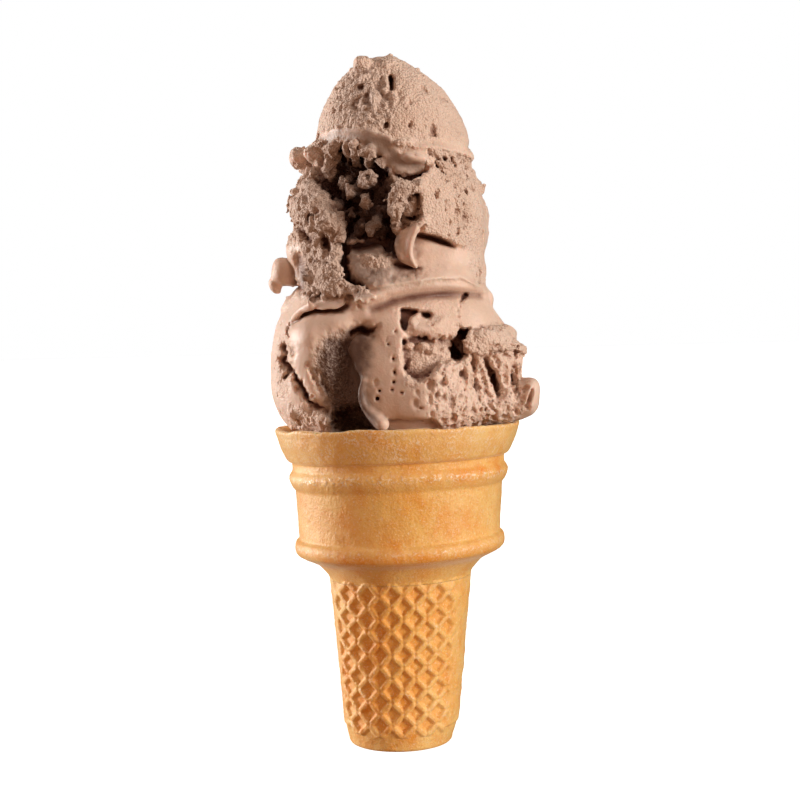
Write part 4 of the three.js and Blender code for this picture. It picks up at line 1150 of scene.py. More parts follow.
# the other sides, by arc length at the charts' radius (bearing in degrees is 2.39 times it)
ROUND_GROUND: tuple[Feature, ...] = (
    # torn edge of the top scoop and the hollow under it
    Stroke(-1.8, 1.2, [(30, 126.6), (38, 127.2), (48, 126), (58, 127.4), (68, 126.2), (78, 127.4),
        (90, 126.6), (104, 127.8), (116, 127.4)], 0.8, 0.7),
    # crevice between the middle and the bottom scoop
    Stroke(-1.6, 1.3, [(34, 101), (46, 102.6), (60, 101.6), (74, 102.8), (90, 101.4), (108, 102.6),
        (118, 101)], 0.8, 0.6),
    # folds that the scoop pushed up, steep on one side
    Stroke(1.7, 0.6, [(39.4, 119.4), (43.4, 115.4), (47, 109.6), (53, 104.4)], 0.3, 0.15, 3.6),
    Stroke(-1.4, 0.8, [(32, 122.6), (40.6, 119.6), (46.6, 113.6), (50, 107.6)], 0.3),
    Stroke(1.2, 1.2, [(74, 104), (80, 107.4), (84.6, 111.4), (87, 116)], 0.4, 0.5, 2),
    Stroke(-1.2, 0.9, [(80, 105.6), (87, 108), (93, 112.4)], 0.5, 0.5),
    Stroke(1.8, 0.6, [(84.4, 93), (86, 88.6), (83.4, 84), (85.2, 79), (83, 73)], 0.4, 0.2, 3.4),
    Stroke(1.6, 0.7, [(95, 93.2), (101, 94.4), (107, 92.6)], 0.3, 0.2, 2.6),
    # pockets where it tore
    Swell(-2.8, (61.5, 117), (4.2, 2.6), 30, 1.2), Swell(-2.4, (70, 110), (3, 4.4), -20, 1.2),
    Swell(-2, (79.5, 119), (3.6, 2.2), 10, 1), Swell(-2.4, (102, 115), (3.6, 3.4), 40, 1.2),
    Swell(-2, (97, 106.4), (2.6, 2.2), 0, 1), Swell(-2.6, (64.5, 87), (6, 6.4), 25, 1.3),
    Swell(-1.6, (69.5, 79), (3.4, 4.4), -30, 1), Swell(-1.8, (106, 85.4), (5.4, 6.6), 15, 0.6),
    Swell(0.5, (76.6, 84), (4, 8), 0, 0.4), Swell(-1.2, (36.8, 95.6), (6, 4)),
    Swell(-1, (37.6, 130), (5, 1.6)),
    # furrows
    Stroke(-1.5, 1, [(44, 88), (46, 83), (45, 77)], 0.5, 0.5),
    Stroke(-1.1, 0.8, [(51, 89), (52.6, 84), (51.6, 78)], 0.5, 0.6),
    Stroke(-1.3, 0.9, [(90.6, 91), (92.4, 85), (91, 77)], 0.5, 0.6),
    Stroke(-1, 0.8, [(56, 140), (57, 136), (55, 132)], 0.4, 0.5),
    Stroke(-0.9, 0.8, [(76, 141), (77.5, 137), (76, 133)], 0.4, 0.5),
    Stroke(-0.9, 0.8, [(100, 140), (99, 136), (101, 132)], 0.4, 0.5),
)
ROUND_PATCHES: tuple[Patch, ...] = (
    Patch({G: 0.75, C: 0.12, P: 0.25}, [(20, 131), (130, 132), (130, 156), (20, 156)], 1.2),
    Patch({G: 0.9, C: 0.9, P: 0.1}, [(28, 128), (50, 128), (80, 127.4), (118, 128.4), (118, 120),
        (28, 120)], 1.5, 1.5),
    Patch({G: 0.7, C: 0.1, P: 0.4}, [(22, 124), (34, 123), (41, 119), (47, 112), (40, 103), (24, 100)], 1.2,
        1.2),
    Patch({G: 0.12, C: 0, P: 0.05}, [(31, 118), (39, 116), (44, 111.6), (47, 107), (54, 103), (46, 101),
        (34, 103), (30, 110)], 1.2),
    Patch({G: 0.95, C: 0.95, P: 0.1}, [(48, 120), (54, 122), (76, 121), (77, 112), (73, 103), (56, 103),
        (49, 110)], 1.2, 1.6),
    Patch({G: 0.5, C: 0.15, P: 0.4}, [(78, 122), (92, 122.6), (96, 116), (94, 110), (82, 110.6), (77, 114)],
        1.4, 1.4),
    Patch({G: 0.3, C: 0.05, P: 0.2}, [(75, 104.4), (80, 107.4), (84, 112), (88, 115), (90, 108), (95, 103),
        (84, 101)], 1.6, 1.2),
    Patch({G: 0.95, C: 0.9, P: 0.1}, [(96, 121), (119, 121), (119, 103), (96, 103), (94, 112)], 1.2, 1.5),
    Patch({G: 0.12, C: 0, P: 0.1}, [(36, 100), (60, 100), (90, 100), (118, 100), (118, 96), (90, 93),
        (60, 95), (38, 93)], 1.2, 1),
    Patch({G: 0.5, C: 0.1, P: 1}, [(28, 86), (42, 91), (56, 88), (55, 70), (28, 70)], 1.5, 1.2),
    # painted shade in the torn pocket
    Patch({G: 0.95, C: 0.8, P: 0.1, M: 0.35}, [(57, 90), (63, 94), (70, 92), (73, 85), (74, 78), (68, 73),
        (60, 76), (59, 83)], 1.4, 1.6),
    Patch({G: 0.15, C: 0, P: 0.25}, [(74, 95), (84, 93.6), (85.6, 88), (83, 84), (84.6, 79), (83, 71),
        (75, 71)], 0.8, 0.4),
    Patch({G: 0.8, C: 0.5, P: 0.5}, [(86, 92), (95, 91), (98, 84), (96, 71), (85, 71), (86, 79),
        (84.6, 84)], 1.2, 1.4),
    Patch({G: 0.2, C: 0, P: 0.15}, [(99, 95), (120, 95), (120, 74), (101, 73), (98, 84)], 1.2),
    Patch({G: 0.15, C: 0, P: 0}, [(111, 109), (124, 109), (124, 96), (111, 96)], 1),
)


@dataclass
class IceCream:
    """Three scoops pressed on top of each other, modelled as one field and cut at the joints."""

    step: float = 0.3
    quick_step: float = 0.5
    seeds: tuple[int, int, int] = (11, 5, 6)
    rim_z: float = 71.0
    plug_radius: float = 24.6
    plug_clearance: float = 1.4
    plug_step: float = 1.0
    plug_z: PAIR = (4.6, 70.2)
    low: SPOT = (-30.0, -30.0, 69.0)
    high: SPOT = (33.0, 30.0, 153.0)
    chart_radius: float = 24.0
    front_fades: PAIR = (84.0, 62.0)
    bead_inset: float = 0.8
    bead_width: float = 0.7
    flap_edge: float = 0.5
    pit_row: float = 2.3
    grain_reach: float = 2.4
    soft_wave: float = 7.5
    clump_wave: float = 5.2
    bend_wave: float = 3.6
    knot_wave: float = 2.4
    grain_wave: float = 1.25
    hollow_reach: float = 1.6
    torn_depth: PAIR = (-1.6, -4.6)
    torn_painted_shade: float = 0.9
    seam_turns: PAIR = (-2.0, -9.0)
    seam_gap: float = -0.3
    finish: ChocolateIceCream = field(default_factory=ChocolateIceCream)

    # middle, half sizes, depth below the middle, lean at the top and fullness of each scoop
    MASSES: ClassVar = (
        ((-0.2, 0.9, 81.5), (27.6, 25.9, 24.5), 18.0, -1.6, 2.4),
        ((-0.7, 0.2, 108.0), (21.2, 20.8, 22.5), 22.5, 0.0, 4.0),
        ((0.3, 0.2, 131.3), (17.0, 17.0, 20.1), 20.0, -2.2, 1.75),
    )
    MASS_EDGE: ClassVar[float] = 3.0
    # how many, smallest and largest radius, height over width, how deep each lies and how soft its
    # edge is as shares of its radius, and whether it is a crumb or a pit
    COARSE_CRUMBS: ClassVar = Strewn(120, (0.6, 1.3), 1.0, 0.35, 0.8, True)
    FINE_CRUMBS: ClassVar = Strewn(620, (0.3, 0.65), 1.0, 0.2, 0.5, True)
    PITS: ClassVar = Strewn(820, (0.34, 0.78), 1.5, 0.15, 0.25, False)
    PINPRICKS: ClassVar = Strewn(1300, (0.26, 0.46), 1.4, 0.1, 0.3, False)
    PLUG_BLOCK: ClassVar = ((-26.0, -26.0, 2.5), (26.0, 26.0, 72.0))
    # joints between the scoops: X and Z in front, Z behind, where the left end lies whole in one
    # scoop, and how far the joint moves aside there
    LOW_SEAM: ClassVar = (
        ((-30, 97.4), (-23.4, 97.8), (-21, 99.6), (-19, 98.6), (-9, 98.3), (-6, 98.6), (-4.6, 99.9),
            (-1.3, 100.35), (2.4, 101.05), (5.2, 101.4), (8.1, 101.8), (14.3, 101.9), (16.6, 100.8),
            (19, 99.8), (32, 99.4)),
        101.6, (-20.0, -23.0), -4.2,
    )
    HIGH_SEAM: ClassVar = (
        ((-30, 131.6), (-17, 131.4), (-11, 131.3), (-7, 130.3), (-4, 128), (-1.4, 125.4), (1.4, 122.9),
            (4, 121.8), (6.6, 123.6), (7.6, 127.4), (9, 128.8), (13, 129.0), (17, 128.2), (32, 128)),
        127.6, (-14.0, -17.0), 4.0,
    )

    def __post_init__(self) -> None:
        """Makes the empty field, the noises and the charts."""
        self.field = Field(self.low, self.high, self.step)
        scatter_seed, coarse_seed, fine_seed = self.seeds
        self.rng = np.random.default_rng(scatter_seed)
        self.coarse, self.fine = Noise(coarse_seed), Noise(fine_seed)
        x, y, _ = self.field.open_grid
        bearing = np.arctan2(x, -y)[:, :, 0]
        self.front_share = ease(*np.radians(self.front_fades), np.abs(bearing))[:, :, None]
        self.around = (bearing % (2 * math.pi)) * self.chart_radius
        self.turn_length = 2 * math.pi * self.chart_radius

    # ------------------------------------------------------------ places on the skin

    def front_skin(self) -> ARRAY:
        """Finds Y of the foremost ice cream.

        Returns:
            One Y for each X and Z of the field, or the far side where there is none.
        """
        inside = self.field.values < 0
        first = inside.argmax(axis=1)
        y = self.field.axes[1]
        return np.where(inside.any(axis=1), y[first], 0.0)

    def front_spot(self, skin: ARRAY, at: Sequence[float]) -> ARRAY:
        """Places a point seen from the front.

        Args:
            skin: Y of the foremost ice cream.
            at: X, Z and how far in front of the skin.

        Returns:
            X, Y and Z.
        """
        x, z, lift = at
        i = int(np.clip(np.searchsorted(self.field.axes[0], x), 2, skin.shape[0] - 3))
        k = int(np.clip(np.searchsorted(self.field.axes[2], z), 2, skin.shape[1] - 3))
        near = skin[i - 2 : i + 3, k - 2 : k + 3]
        return np.array([x, float(np.median(near)) - lift, z])

    def round_spot(self, at: Sequence[float]) -> ARRAY:
        """Places a point by its bearing, height and lift off the smooth masses.

        Args:
            at: Bearing in degrees from the front, Z and lift.

        Returns:
            X, Y and Z.
        """
        bearing, z, lift = at
        angle = math.radians(bearing)
        radius = np.linspace(0, 34, 341)
        places = self.mass_distance(
            radius * math.sin(angle), -radius * math.cos(angle), np.full_like(radius, z)
        )
        reach = radius[np.nonzero(places < 0)[0].max()] if (places < 0).any() else 0.0
        return np.array([(reach + lift) * math.sin(angle), -(reach + lift) * math.cos(angle), z])

    def mass_distance(self, x: ARRAY, y: ARRAY, z: ARRAY) -> ARRAY:
        """Signed distance of the three smooth scoops.

        Args:
            x: Places along X.
            y: Places along Y.
            z: Places along Z.

        Returns:
            The distance, below zero inside.
        """
        whole: ARRAY | None = None
        for at, size, foot, lean, power in self.MASSES:
            rise = (z - at[2]) / size[2]
            tall = np.where(rise < 0, foot, size[2])
            middle = at[0] + lean * np.maximum(rise, 0) ** 2
            plan = np.sqrt(((x - middle) / size[0]) ** 2 + ((y - at[1]) / size[1]) ** 2)
            measure = (plan**power + np.abs((z - at[2]) / tall) ** power) ** (1 / power)
            body = (measure - 1) * min(size[0], size[1], size[2])
            whole = body if whole is None else soft_join(whole, body, self.MASS_EDGE)
        return whole

    # ------------------------------------------------------------ sculpting steps

    def place_lump(self, lump: Lump, skin: ARRAY | None) -> None:
        """Joins a lump to the field, or cuts a bite.

        Args:
            lump: What to place.
            skin: Y of the foremost ice cream, or None for a large lump placed by its bearing.
        """
        if skin is None:
            at = self.round_spot(lump.at)
            turn = Matrix.Rotation(math.radians(lump.at[0]), 3, "Z")
        else:
            at = self.front_spot(skin, lump.at)
            turn = Matrix.Rotation(math.radians(-lump.turn), 3, "Y")
        self.field.body(at, np.array(lump.size, dtype=float), lump.power, lump.edge, lump.adds, turn)

    def place_rod(self, rod: Rod, skin: ARRAY | None) -> None:
        """Joins a strand to the field.

        Args:
            rod: What to place.
            skin: Y of the foremost ice cream, or None for a strand placed by its bearing.
        """
        if skin is None:
            steps = 6
            stops = [self.round_spot(stop) for stop in curve_through(rod.stops, steps=steps)]
        else:
            steps = 4
            stops = curve_through([self.front_spot(skin, stop) for stop in rod.stops], steps=steps)
        radii = curve_through([[r, 0] for r in rod.radii], steps=steps)[:, 0]
        self.field.rod(np.array(stops), radii, rod.edge)

    def new_charts(self) -> tuple[Chart, Chart]:
        """Makes an empty chart of the front and one of the way round."""
        x, _, z = self.field.axes
        turn = np.arange(0, self.turn_length, self.step, dtype=np.float32)
        return Chart(x, z, self.coarse), Chart(turn, z, self.coarse, self.turn_length)

    def wrap(self, front: ARRAY, around: ARRAY) -> ARRAY:
        """Lays two charts' values on the field, the front one in front.

        Args:
            front: Values by X and Z.
            around: Values by arc length and Z.

        Returns:
            One value for each point of the field.
        """
        spot = self.around / self.step
        base = np.floor(spot).astype(np.int32)
        rest = (spot - base)[:, :, None].astype(np.float32)
        count = around.shape[0]
        behind = around[base % count] * (1 - rest) + around[(base + 1) % count] * rest
        return (behind + self.front_share * (front[:, None, :] - behind)).astype(np.float32)

    def place_flap(self, flap: Flap, chart: Chart, ground: ARRAY) -> None:
        """Lays a flap on the front.

        Args:
            flap: What to lay.
            chart: Chart of the front, for its places.
            ground: The field before any relief, whose skin the flap follows.
        """
        away = chart.from_outline(flap.stops, flap.ragged).astype(np.float32)
        stops = np.array(flap.stops)
        middle = stops.mean(axis=0)
        top = flap.height + flap.lean[0] * (chart.across - middle[0])
        top = top + flap.lean[1] * (chart.up - middle[1])
        top = top + flap.bead * np.exp(-(((away + self.bead_inset) / self.bead_width) ** 2))
        low, high = stops.min(axis=0) - 2, stops.max(axis=0) + 2
        x, y, z = self.field.axes
        i = slice(int(np.searchsorted(x, low[0])), int(np.searchsorted(x, high[0])))
        k = slice(int(np.searchsorted(z, low[1])), int(np.searchsorted(z, high[1])))
        j = slice(0, int(np.searchsorted(y, 0)))
        part = ground[i, j, k]
        up = part - top[i, None, k].astype(np.float32)
        down = -(up + flap.thick)
        edge = away[i, None, k]
        rim = -soft_join(-np.maximum(up, down), -edge, flap.round)
        self.field.blend((i, j, k), rim, self.flap_edge, True)

    def scatter(self, weight: ARRAY, lot: Strewn) -> None:
        """Strews crumbs over the skin, or pits into it.

        Args:
            weight: How likely each point of the field is to get one.
            lot: How many there are and how each lies.
        """
        near = np.nonzero(np.abs(self.field.values) < self.step * 0.6)
        chance = weight[near].astype(np.float64)
        chance = np.clip(chance, 0, None)
        if chance.sum() <= 0:
            return
        picks = self.rng.choice(len(chance), size=lot.count, p=chance / chance.sum())
        radii = lot.radii[0] + (lot.radii[1] - lot.radii[0]) * self.rng.random(lot.count) ** 2
        shake = self.rng.random((lot.count, 6))
        axes = self.field.axes
        for pick, radius, part in zip(picks, radii, shake, strict=True):
            at = np.array([axes[axis][near[axis][pick]] for axis in range(3)], dtype=float)
            at += (part[:3] - 0.5) * self.step
            flat = np.hypot(at[0], at[1]) + 1e-6
            at[:2] *= 1 - lot.sink * radius / flat
            size = radius * (0.8 + 0.4 * part[3:])
            size[2] *= lot.tall
            self.field.body(at, size, 2.0, lot.edge * radius, lot.adds, None)

    def sculpt(self) -> None:
        """Builds the whole ice cream."""
        ice = self.field
        x, y, z = ice.open_grid
        ice.values = self.mass_distance(x, y, z).astype(np.float32)
        for lump in LARGE:
            self.place_lump(lump, None)
        for rod in LARGE_RODS:
            self.place_rod(rod, None)
        ground = ice.values.copy()
        front, around = self.new_charts()
        for feature in FRONT_GROUND:
            feature.mark(front)
        for feature in ROUND_GROUND:
            feature.mark(around)
        ice.values -= self.wrap(front.relief, around.relief)
        for flap in FRONT_FLAPS:
            self.place_flap(flap, front, ground)
        skin = self.front_skin()
        for rod in FRONT_RODS:
            self.place_rod(rod, skin)
        for lump in FRONT_LUMPS:
            self.place_lump(lump, skin)
        details, around_details = self.new_charts()
        for feature in FRONT_SKIN:
            feature.mark(details)
        for patch in FRONT_PATCHES:
            patch.mark(details)
        for patch in ROUND_PATCHES:
            patch.mark(around_details)
        ice.values -= self.wrap(details.relief, around_details.relief)
        self.textures = {
            kind: self.wrap(details.textures[kind], around_details.textures[kind]) for kind in Texture
        }
        log.info("sculpted the large forms")
        self.roughen()

    def roughen(self) -> None:
        """Adds crumbs, pits and grain by the textures."""
        ice = self.field
        crumb, pit, grain = (self.textures[kind] for kind in (C, P, G))
        # pits stand in rows that the scoop drew upwards
        rows = 0.5 + 0.5 * np.cos(2 * math.pi * (ice.open_grid[0] / self.pit_row))
        self.scatter(crumb**2, self.COARSE_CRUMBS)
        self.scatter(crumb, self.FINE_CRUMBS)
        self.scatter(pit**2 * (0.15 + rows**2), self.PITS)
        self.scatter(pit * (0.2 + rows), self.PINPRICKS)
        near = np.nonzero(np.abs(ice.values) < self.grain_reach)
        x, y, z = (axis[index] for axis, index in zip(ice.axes, near, strict=True))
        share, torn = grain[near], crumb[near]
        soft = self.coarse.at(x, y, z, self.soft_wave)
        bend = 0.7 * self.coarse.at(z, x, y, self.bend_wave)
        # folded noise: rounded knots with sharp creases between them, where the ice cream is torn
        clumps = np.abs(self.coarse.at(x + bend, y, z * 0.9, self.clump_wave))
        knots = self.fine.at(x, y + bend, z * 0.9, self.knot_wave)
        grains = self.fine.at(x, y, z * 0.85, self.grain_wave)
        lift = 0.14 * soft + torn * (0.55 * (clumps - 0.4) + 0.50 * (np.abs(knots) - 0.4) + 0.10 * grains)
        lift += (0.01 + 0.07 * share) * knots + (0.005 + 0.10 * share) * grains
        ice.values[near] -= lift.astype(np.float32)

    # ------------------------------------------------------------ cutting and meshing

    def seam(self, stops: Sequence[PAIR], behind: float, left: PAIR, aside: float) -> ARRAY:
        """Height of the joint between two scoops.

        Args:
            stops: X and Z of the joint in front.
            behind: Z of the joint behind.
            left: X between which it moves aside, so that the ear and the knob stay whole.
            aside: How far it moves there.

        Returns:
            Z for each X and Y of the field.
        """
        x, y, _ = self.field.open_grid
        front = read_table(stops, self.field.axes[0]).astype(np.float32)[:, None, None]
        back = behind + ease(*left, x) * aside
        return back + ease(*self.seam_turns, y) * (front - back)

    def trim(self) -> None:
        """Keeps the ice cream clear of the rim, with the plug going down inside it."""
        x, y, z = self.field.open_grid
        plan = np.sqrt(x**2 + y**2)
        clear = np.minimum(self.rim_z - z, plan - self.plug_radius)
        self.field.values = np.maximum(self.field.values, clear).astype(np.float32)
        floor = self.low[2] + 2 * self.step - z
        self.field.values = np.maximum(self.field.values, floor).astype(np.float32)

    def plug(self) -> tuple[ARRAY, ARRAY]:
        """Makes the ice cream inside the wafer.

        Returns:
            Points and faces.
        """
        walls = [(height, radius) for radius, height in reversed(Wafer.INSIDE)]
        block = Field(*self.PLUG_BLOCK, self.plug_step)
        x, y, z = block.open_grid
        side = np.sqrt(x**2 + y**2) - (
            read_table(walls, block.axes[2])[None, None, :] - self.plug_clearance
        )
        block.values = np.maximum(side, np.maximum(self.plug_z[0] - z, z - self.plug_z[1]))
        return block.skin()

    def hollows(self) -> ARRAY:
        """Measures how deep each point lies in a hollow.

        Returns:
            Distance of the point from a smoothed skin, below zero in a hollow.
        """
        smooth = np.clip(self.field.values, -3, 3)
        width = max(int(round(self.hollow_reach / self.step)), 1)
        for _ in range(2):
            for axis in range(3):
                total = np.cumsum(smooth, axis=axis, dtype=np.float32)
                ahead = np.roll(total, -width, axis=axis)
                behind = np.roll(total, width + 1, axis=axis)
                smooth = (ahead - behind) / (2 * width + 1)
                edge = [slice(None)] * 3
                edge[axis] = slice(-width, None)
                smooth[tuple(edge)] = 3
                edge[axis] = slice(0, width + 1)
                smooth[tuple(edge)] = 3
        return smooth

    def build(self) -> list[bpy.types.Object]:
        """Builds and dresses the three scoops.

        Returns:
            The scoops from the bottom up.
        """
        self.sculpt()
        self.trim()
        _, _, z = self.field.open_grid
        low, high = self.seam(*self.LOW_SEAM), self.seam(*self.HIGH_SEAM)
        whole = self.field.values
        smooth = self.hollows()
        material = self.finish.material()
        cuts = {
            "scoop_bottom": z - low + self.seam_gap,
            "scoop_middle": np.maximum(low + self.seam_gap - z, z - high + self.seam_gap),
            "scoop_top": high + self.seam_gap - z
        }
        made = []
        for name, cut in cuts.items():
            self.field.values = np.maximum(whole, cut).astype(np.float32)
            points, faces = largest_piece(*self.field.skin())
            if name == "scoop_bottom":
                inner, inner_faces = self.plug()
                faces = np.concatenate([faces, inner_faces + len(points)])
                points = np.concatenate([points, inner])
            item = mesh_object(f"{name}_ice_cream", points, faces)
            self.dress(item, smooth, material)
            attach(item, "root")
            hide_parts(name)
            made.append(item)
            log.info("%s has %d faces", item.name, len(faces))
        self.field.values = whole
        return made

    def dress(self, item: bpy.types.Object, smooth: ARRAY, material: bpy.types.Material) -> None:
        """Gives a scoop its attributes and its finish.

        Args:
            item: The scoop.
            smooth: Depth in hollows, from hollows().
            material: The ice cream's material.
        """
        count = len(item.data.vertices)
        places = np.empty(count * 3, dtype=np.float32)
        item.data.vertices.foreach_get("co", places)
        places = places.reshape(-1, 3) / MM
        textures = {kind: np.clip(self.field.read(self.textures[kind], places), 0, 1) for kind in Texture}
        # painted shade gathers deep in the torn parts, where the recesses lie in shadow
        deep = ease(*self.torn_depth, self.mass_distance(*places.T)) * textures[C]
        textures[M] = np.maximum(textures[M], self.torn_painted_shade * deep)
        for kind in (G, F, M, P):
            give_attribute(item, kind.value, textures[kind])
        # depth in hollows, which the material turns into painted shade
        give_attribute(item, "hollow", np.clip((-self.field.read(smooth, places) - 0.1) / 1.1, 0, 1))
        item.data.materials.append(material)


# ---------------------------------------------------------------- wafer


@dataclass(frozen=True)
class BakedWafer:
    """Moulded wafer: thin batter of flour, starch and sugar, baked in a closed hot mould.

    The skin is matt and finely pored. The floors of the lattice are a deeper orange, it browns in
    patches along the rings, where the mould is hottest, and flakes pale where it was torn out of the
    mould. One brown patch low on the band's left is painted shade, and pale painted highlights lie
    on the crests and on the lit left side.
    """

    golden: str = "#e7b35c"
    light: str = "#efc57a"
    toasted: str = "#e08c20"
    pit: str = "#e3a54a"
    # pale for torn flakes and starch specks, and for painted highlights
    pale_flake_and_highlight: str = "#f6ddb9"
    roughness: float = 0.55
    roughness_flaked: float = 0.3
    ior: float = 1.46
    glow: float = 0.12
    glow_mm: float = 1.2
    glow_reach: SPOT = (1.0, 0.4, 0.15)
    dust: float = 0.35
    dust_tint: str = "#fff2e2"
    speck_mm: float = 0.2
    flake_mm: float = 0.28
    pore_mm: float = 0.28
    pore_depth_mm: float = 0.2
    mottle_mm: float = 1.6
    mottle_depth_mm: float = 0.22
    cloud_mm: float = 11.0

    def material(self) -> bpy.types.Material:
        """Builds the node material.

        Returns:
            The material, which reads floor, toasting with painted shade, and flakes with painted
            highlights.
        """
        made = bpy.data.materials.new("baked_wafer_moulded")
        made.use_nodes = True
        tree = made.node_tree
        tree.nodes.clear()
        place = add_node(tree, "ShaderNodeNewGeometry").outputs["Position"]
        floor, toast_and_shade, flake_and_highlight = (
            add_node(tree, "ShaderNodeAttribute", {"attribute_name": name}).outputs["Fac"]
            for name in ("floor", "toast_and_shade", "flake_and_highlight")
        )
        # patches about as wide as the given size
        clouds, mottle, pores, specks, flakes = (
            add_node(
                tree, "ShaderNodeTexNoise", links={"Vector": place},
                values={"Scale": 1 / (2 * size * MM), "Detail": detail, "Roughness": rough}
            ).outputs["Fac"]
            for size, detail, rough in (
                (self.cloud_mm, 2.0, 0.5), (self.mottle_mm, 4.0, 0.65), (self.pore_mm, 3.0, 0.6),
                (self.speck_mm, 2.0, 0.6), (self.flake_mm, 3.0, 0.7)
            )
        )
        # what each share is read from, over which range, and what it is at the range's ends
        mottled, pored, speckled, flaky = (
            add_node(
                tree, "ShaderNodeMapRange", links={"Value": value},
                values={"From Min": low, "From Max": high, "To Min": least, "To Max": most}
            ).outputs["Result"]
            for value, low, high, least, most in (
                (mottle, 0.36, 0.62, 0.35, 1.0), (pores, 0.52, 0.70, 0.0, 0.60),
                (specks, 0.54, 0.70, 0.0, 0.50), (flakes, 0.50, 0.60, 0.0, 1.0)
            )
        )
        browned_and_shaded, torn = (
            add_node(tree, "ShaderNodeMath", {"operation": "MULTIPLY"}, links={0: a, 1: b}).outputs[0]
            for a, b in ((toast_and_shade, mottled), (flake_and_highlight, flaky))
        )
        # Batter bakes unevenly: slow clouds between golden and a lighter tone.
        tone = add_node(tree, "ShaderNodeValToRGB", links={"Fac": clouds})
        set_ramp(tone, [(0.35, self.golden), (0.68, self.light)])
        colour = tone.outputs["Color"]
        for share, tint in (
            # Deeper orange in the lattice's floors, and mottled orange-brown toasting, mostly in the rings.
            # one toasted patch, low on the band's left, is painted shade
            (floor, self.pit), (browned_and_shaded, self.toasted),
            # Pores show as darker pinpricks, starch as pale specks.
            (pored, self.toasted), (speckled, self.pale_flake_and_highlight),
            # Pale torn flakes catch the light; painted highlights pale the crests and the lit left side.
            (torn, self.pale_flake_and_highlight)
        ):
            colour = add_node(
                tree, "ShaderNodeMix", {"data_type": "RGBA"}, values={"B": linear(tint)},
                links={"Factor": share, "A": colour}
            ).outputs["Result"]
        roughness = add_node(
            tree, "ShaderNodeMapRange", links={"Value": torn},
            values={"To Min": self.roughness, "To Max": self.roughness_flaked}
        )
        fine = add_node(
            tree, "ShaderNodeBump", values={"Strength": 0.8, "Distance": self.pore_depth_mm * MM},
            links={"Height": pores}
        )
        coarse = add_node(
            tree, "ShaderNodeBump", values={"Strength": 0.35, "Distance": self.mottle_depth_mm * MM},
            links={"Height": mottle, "Normal": fine.outputs["Normal"]}
        )
        shader = add_node(
            tree, "ShaderNodeBsdfPrincipled", {"subsurface_method": "RANDOM_WALK"},
            values={
                "IOR": self.ior, "Subsurface Weight": self.glow, "Subsurface Radius": self.glow_reach,
                "Subsurface Scale": self.glow_mm * MM, "Sheen Weight": self.dust, "Sheen Roughness": 0.4,
                "Sheen Tint": linear(self.dust_tint)
            },
            links={
                "Base Color": colour, "Roughness": roughness.outputs["Result"],
                "Normal": coarse.outputs["Normal"]
            }
        )
        add_node(tree, "ShaderNodeOutputMaterial", links={"Surface": shader.outputs["BSDF"]})
        return made


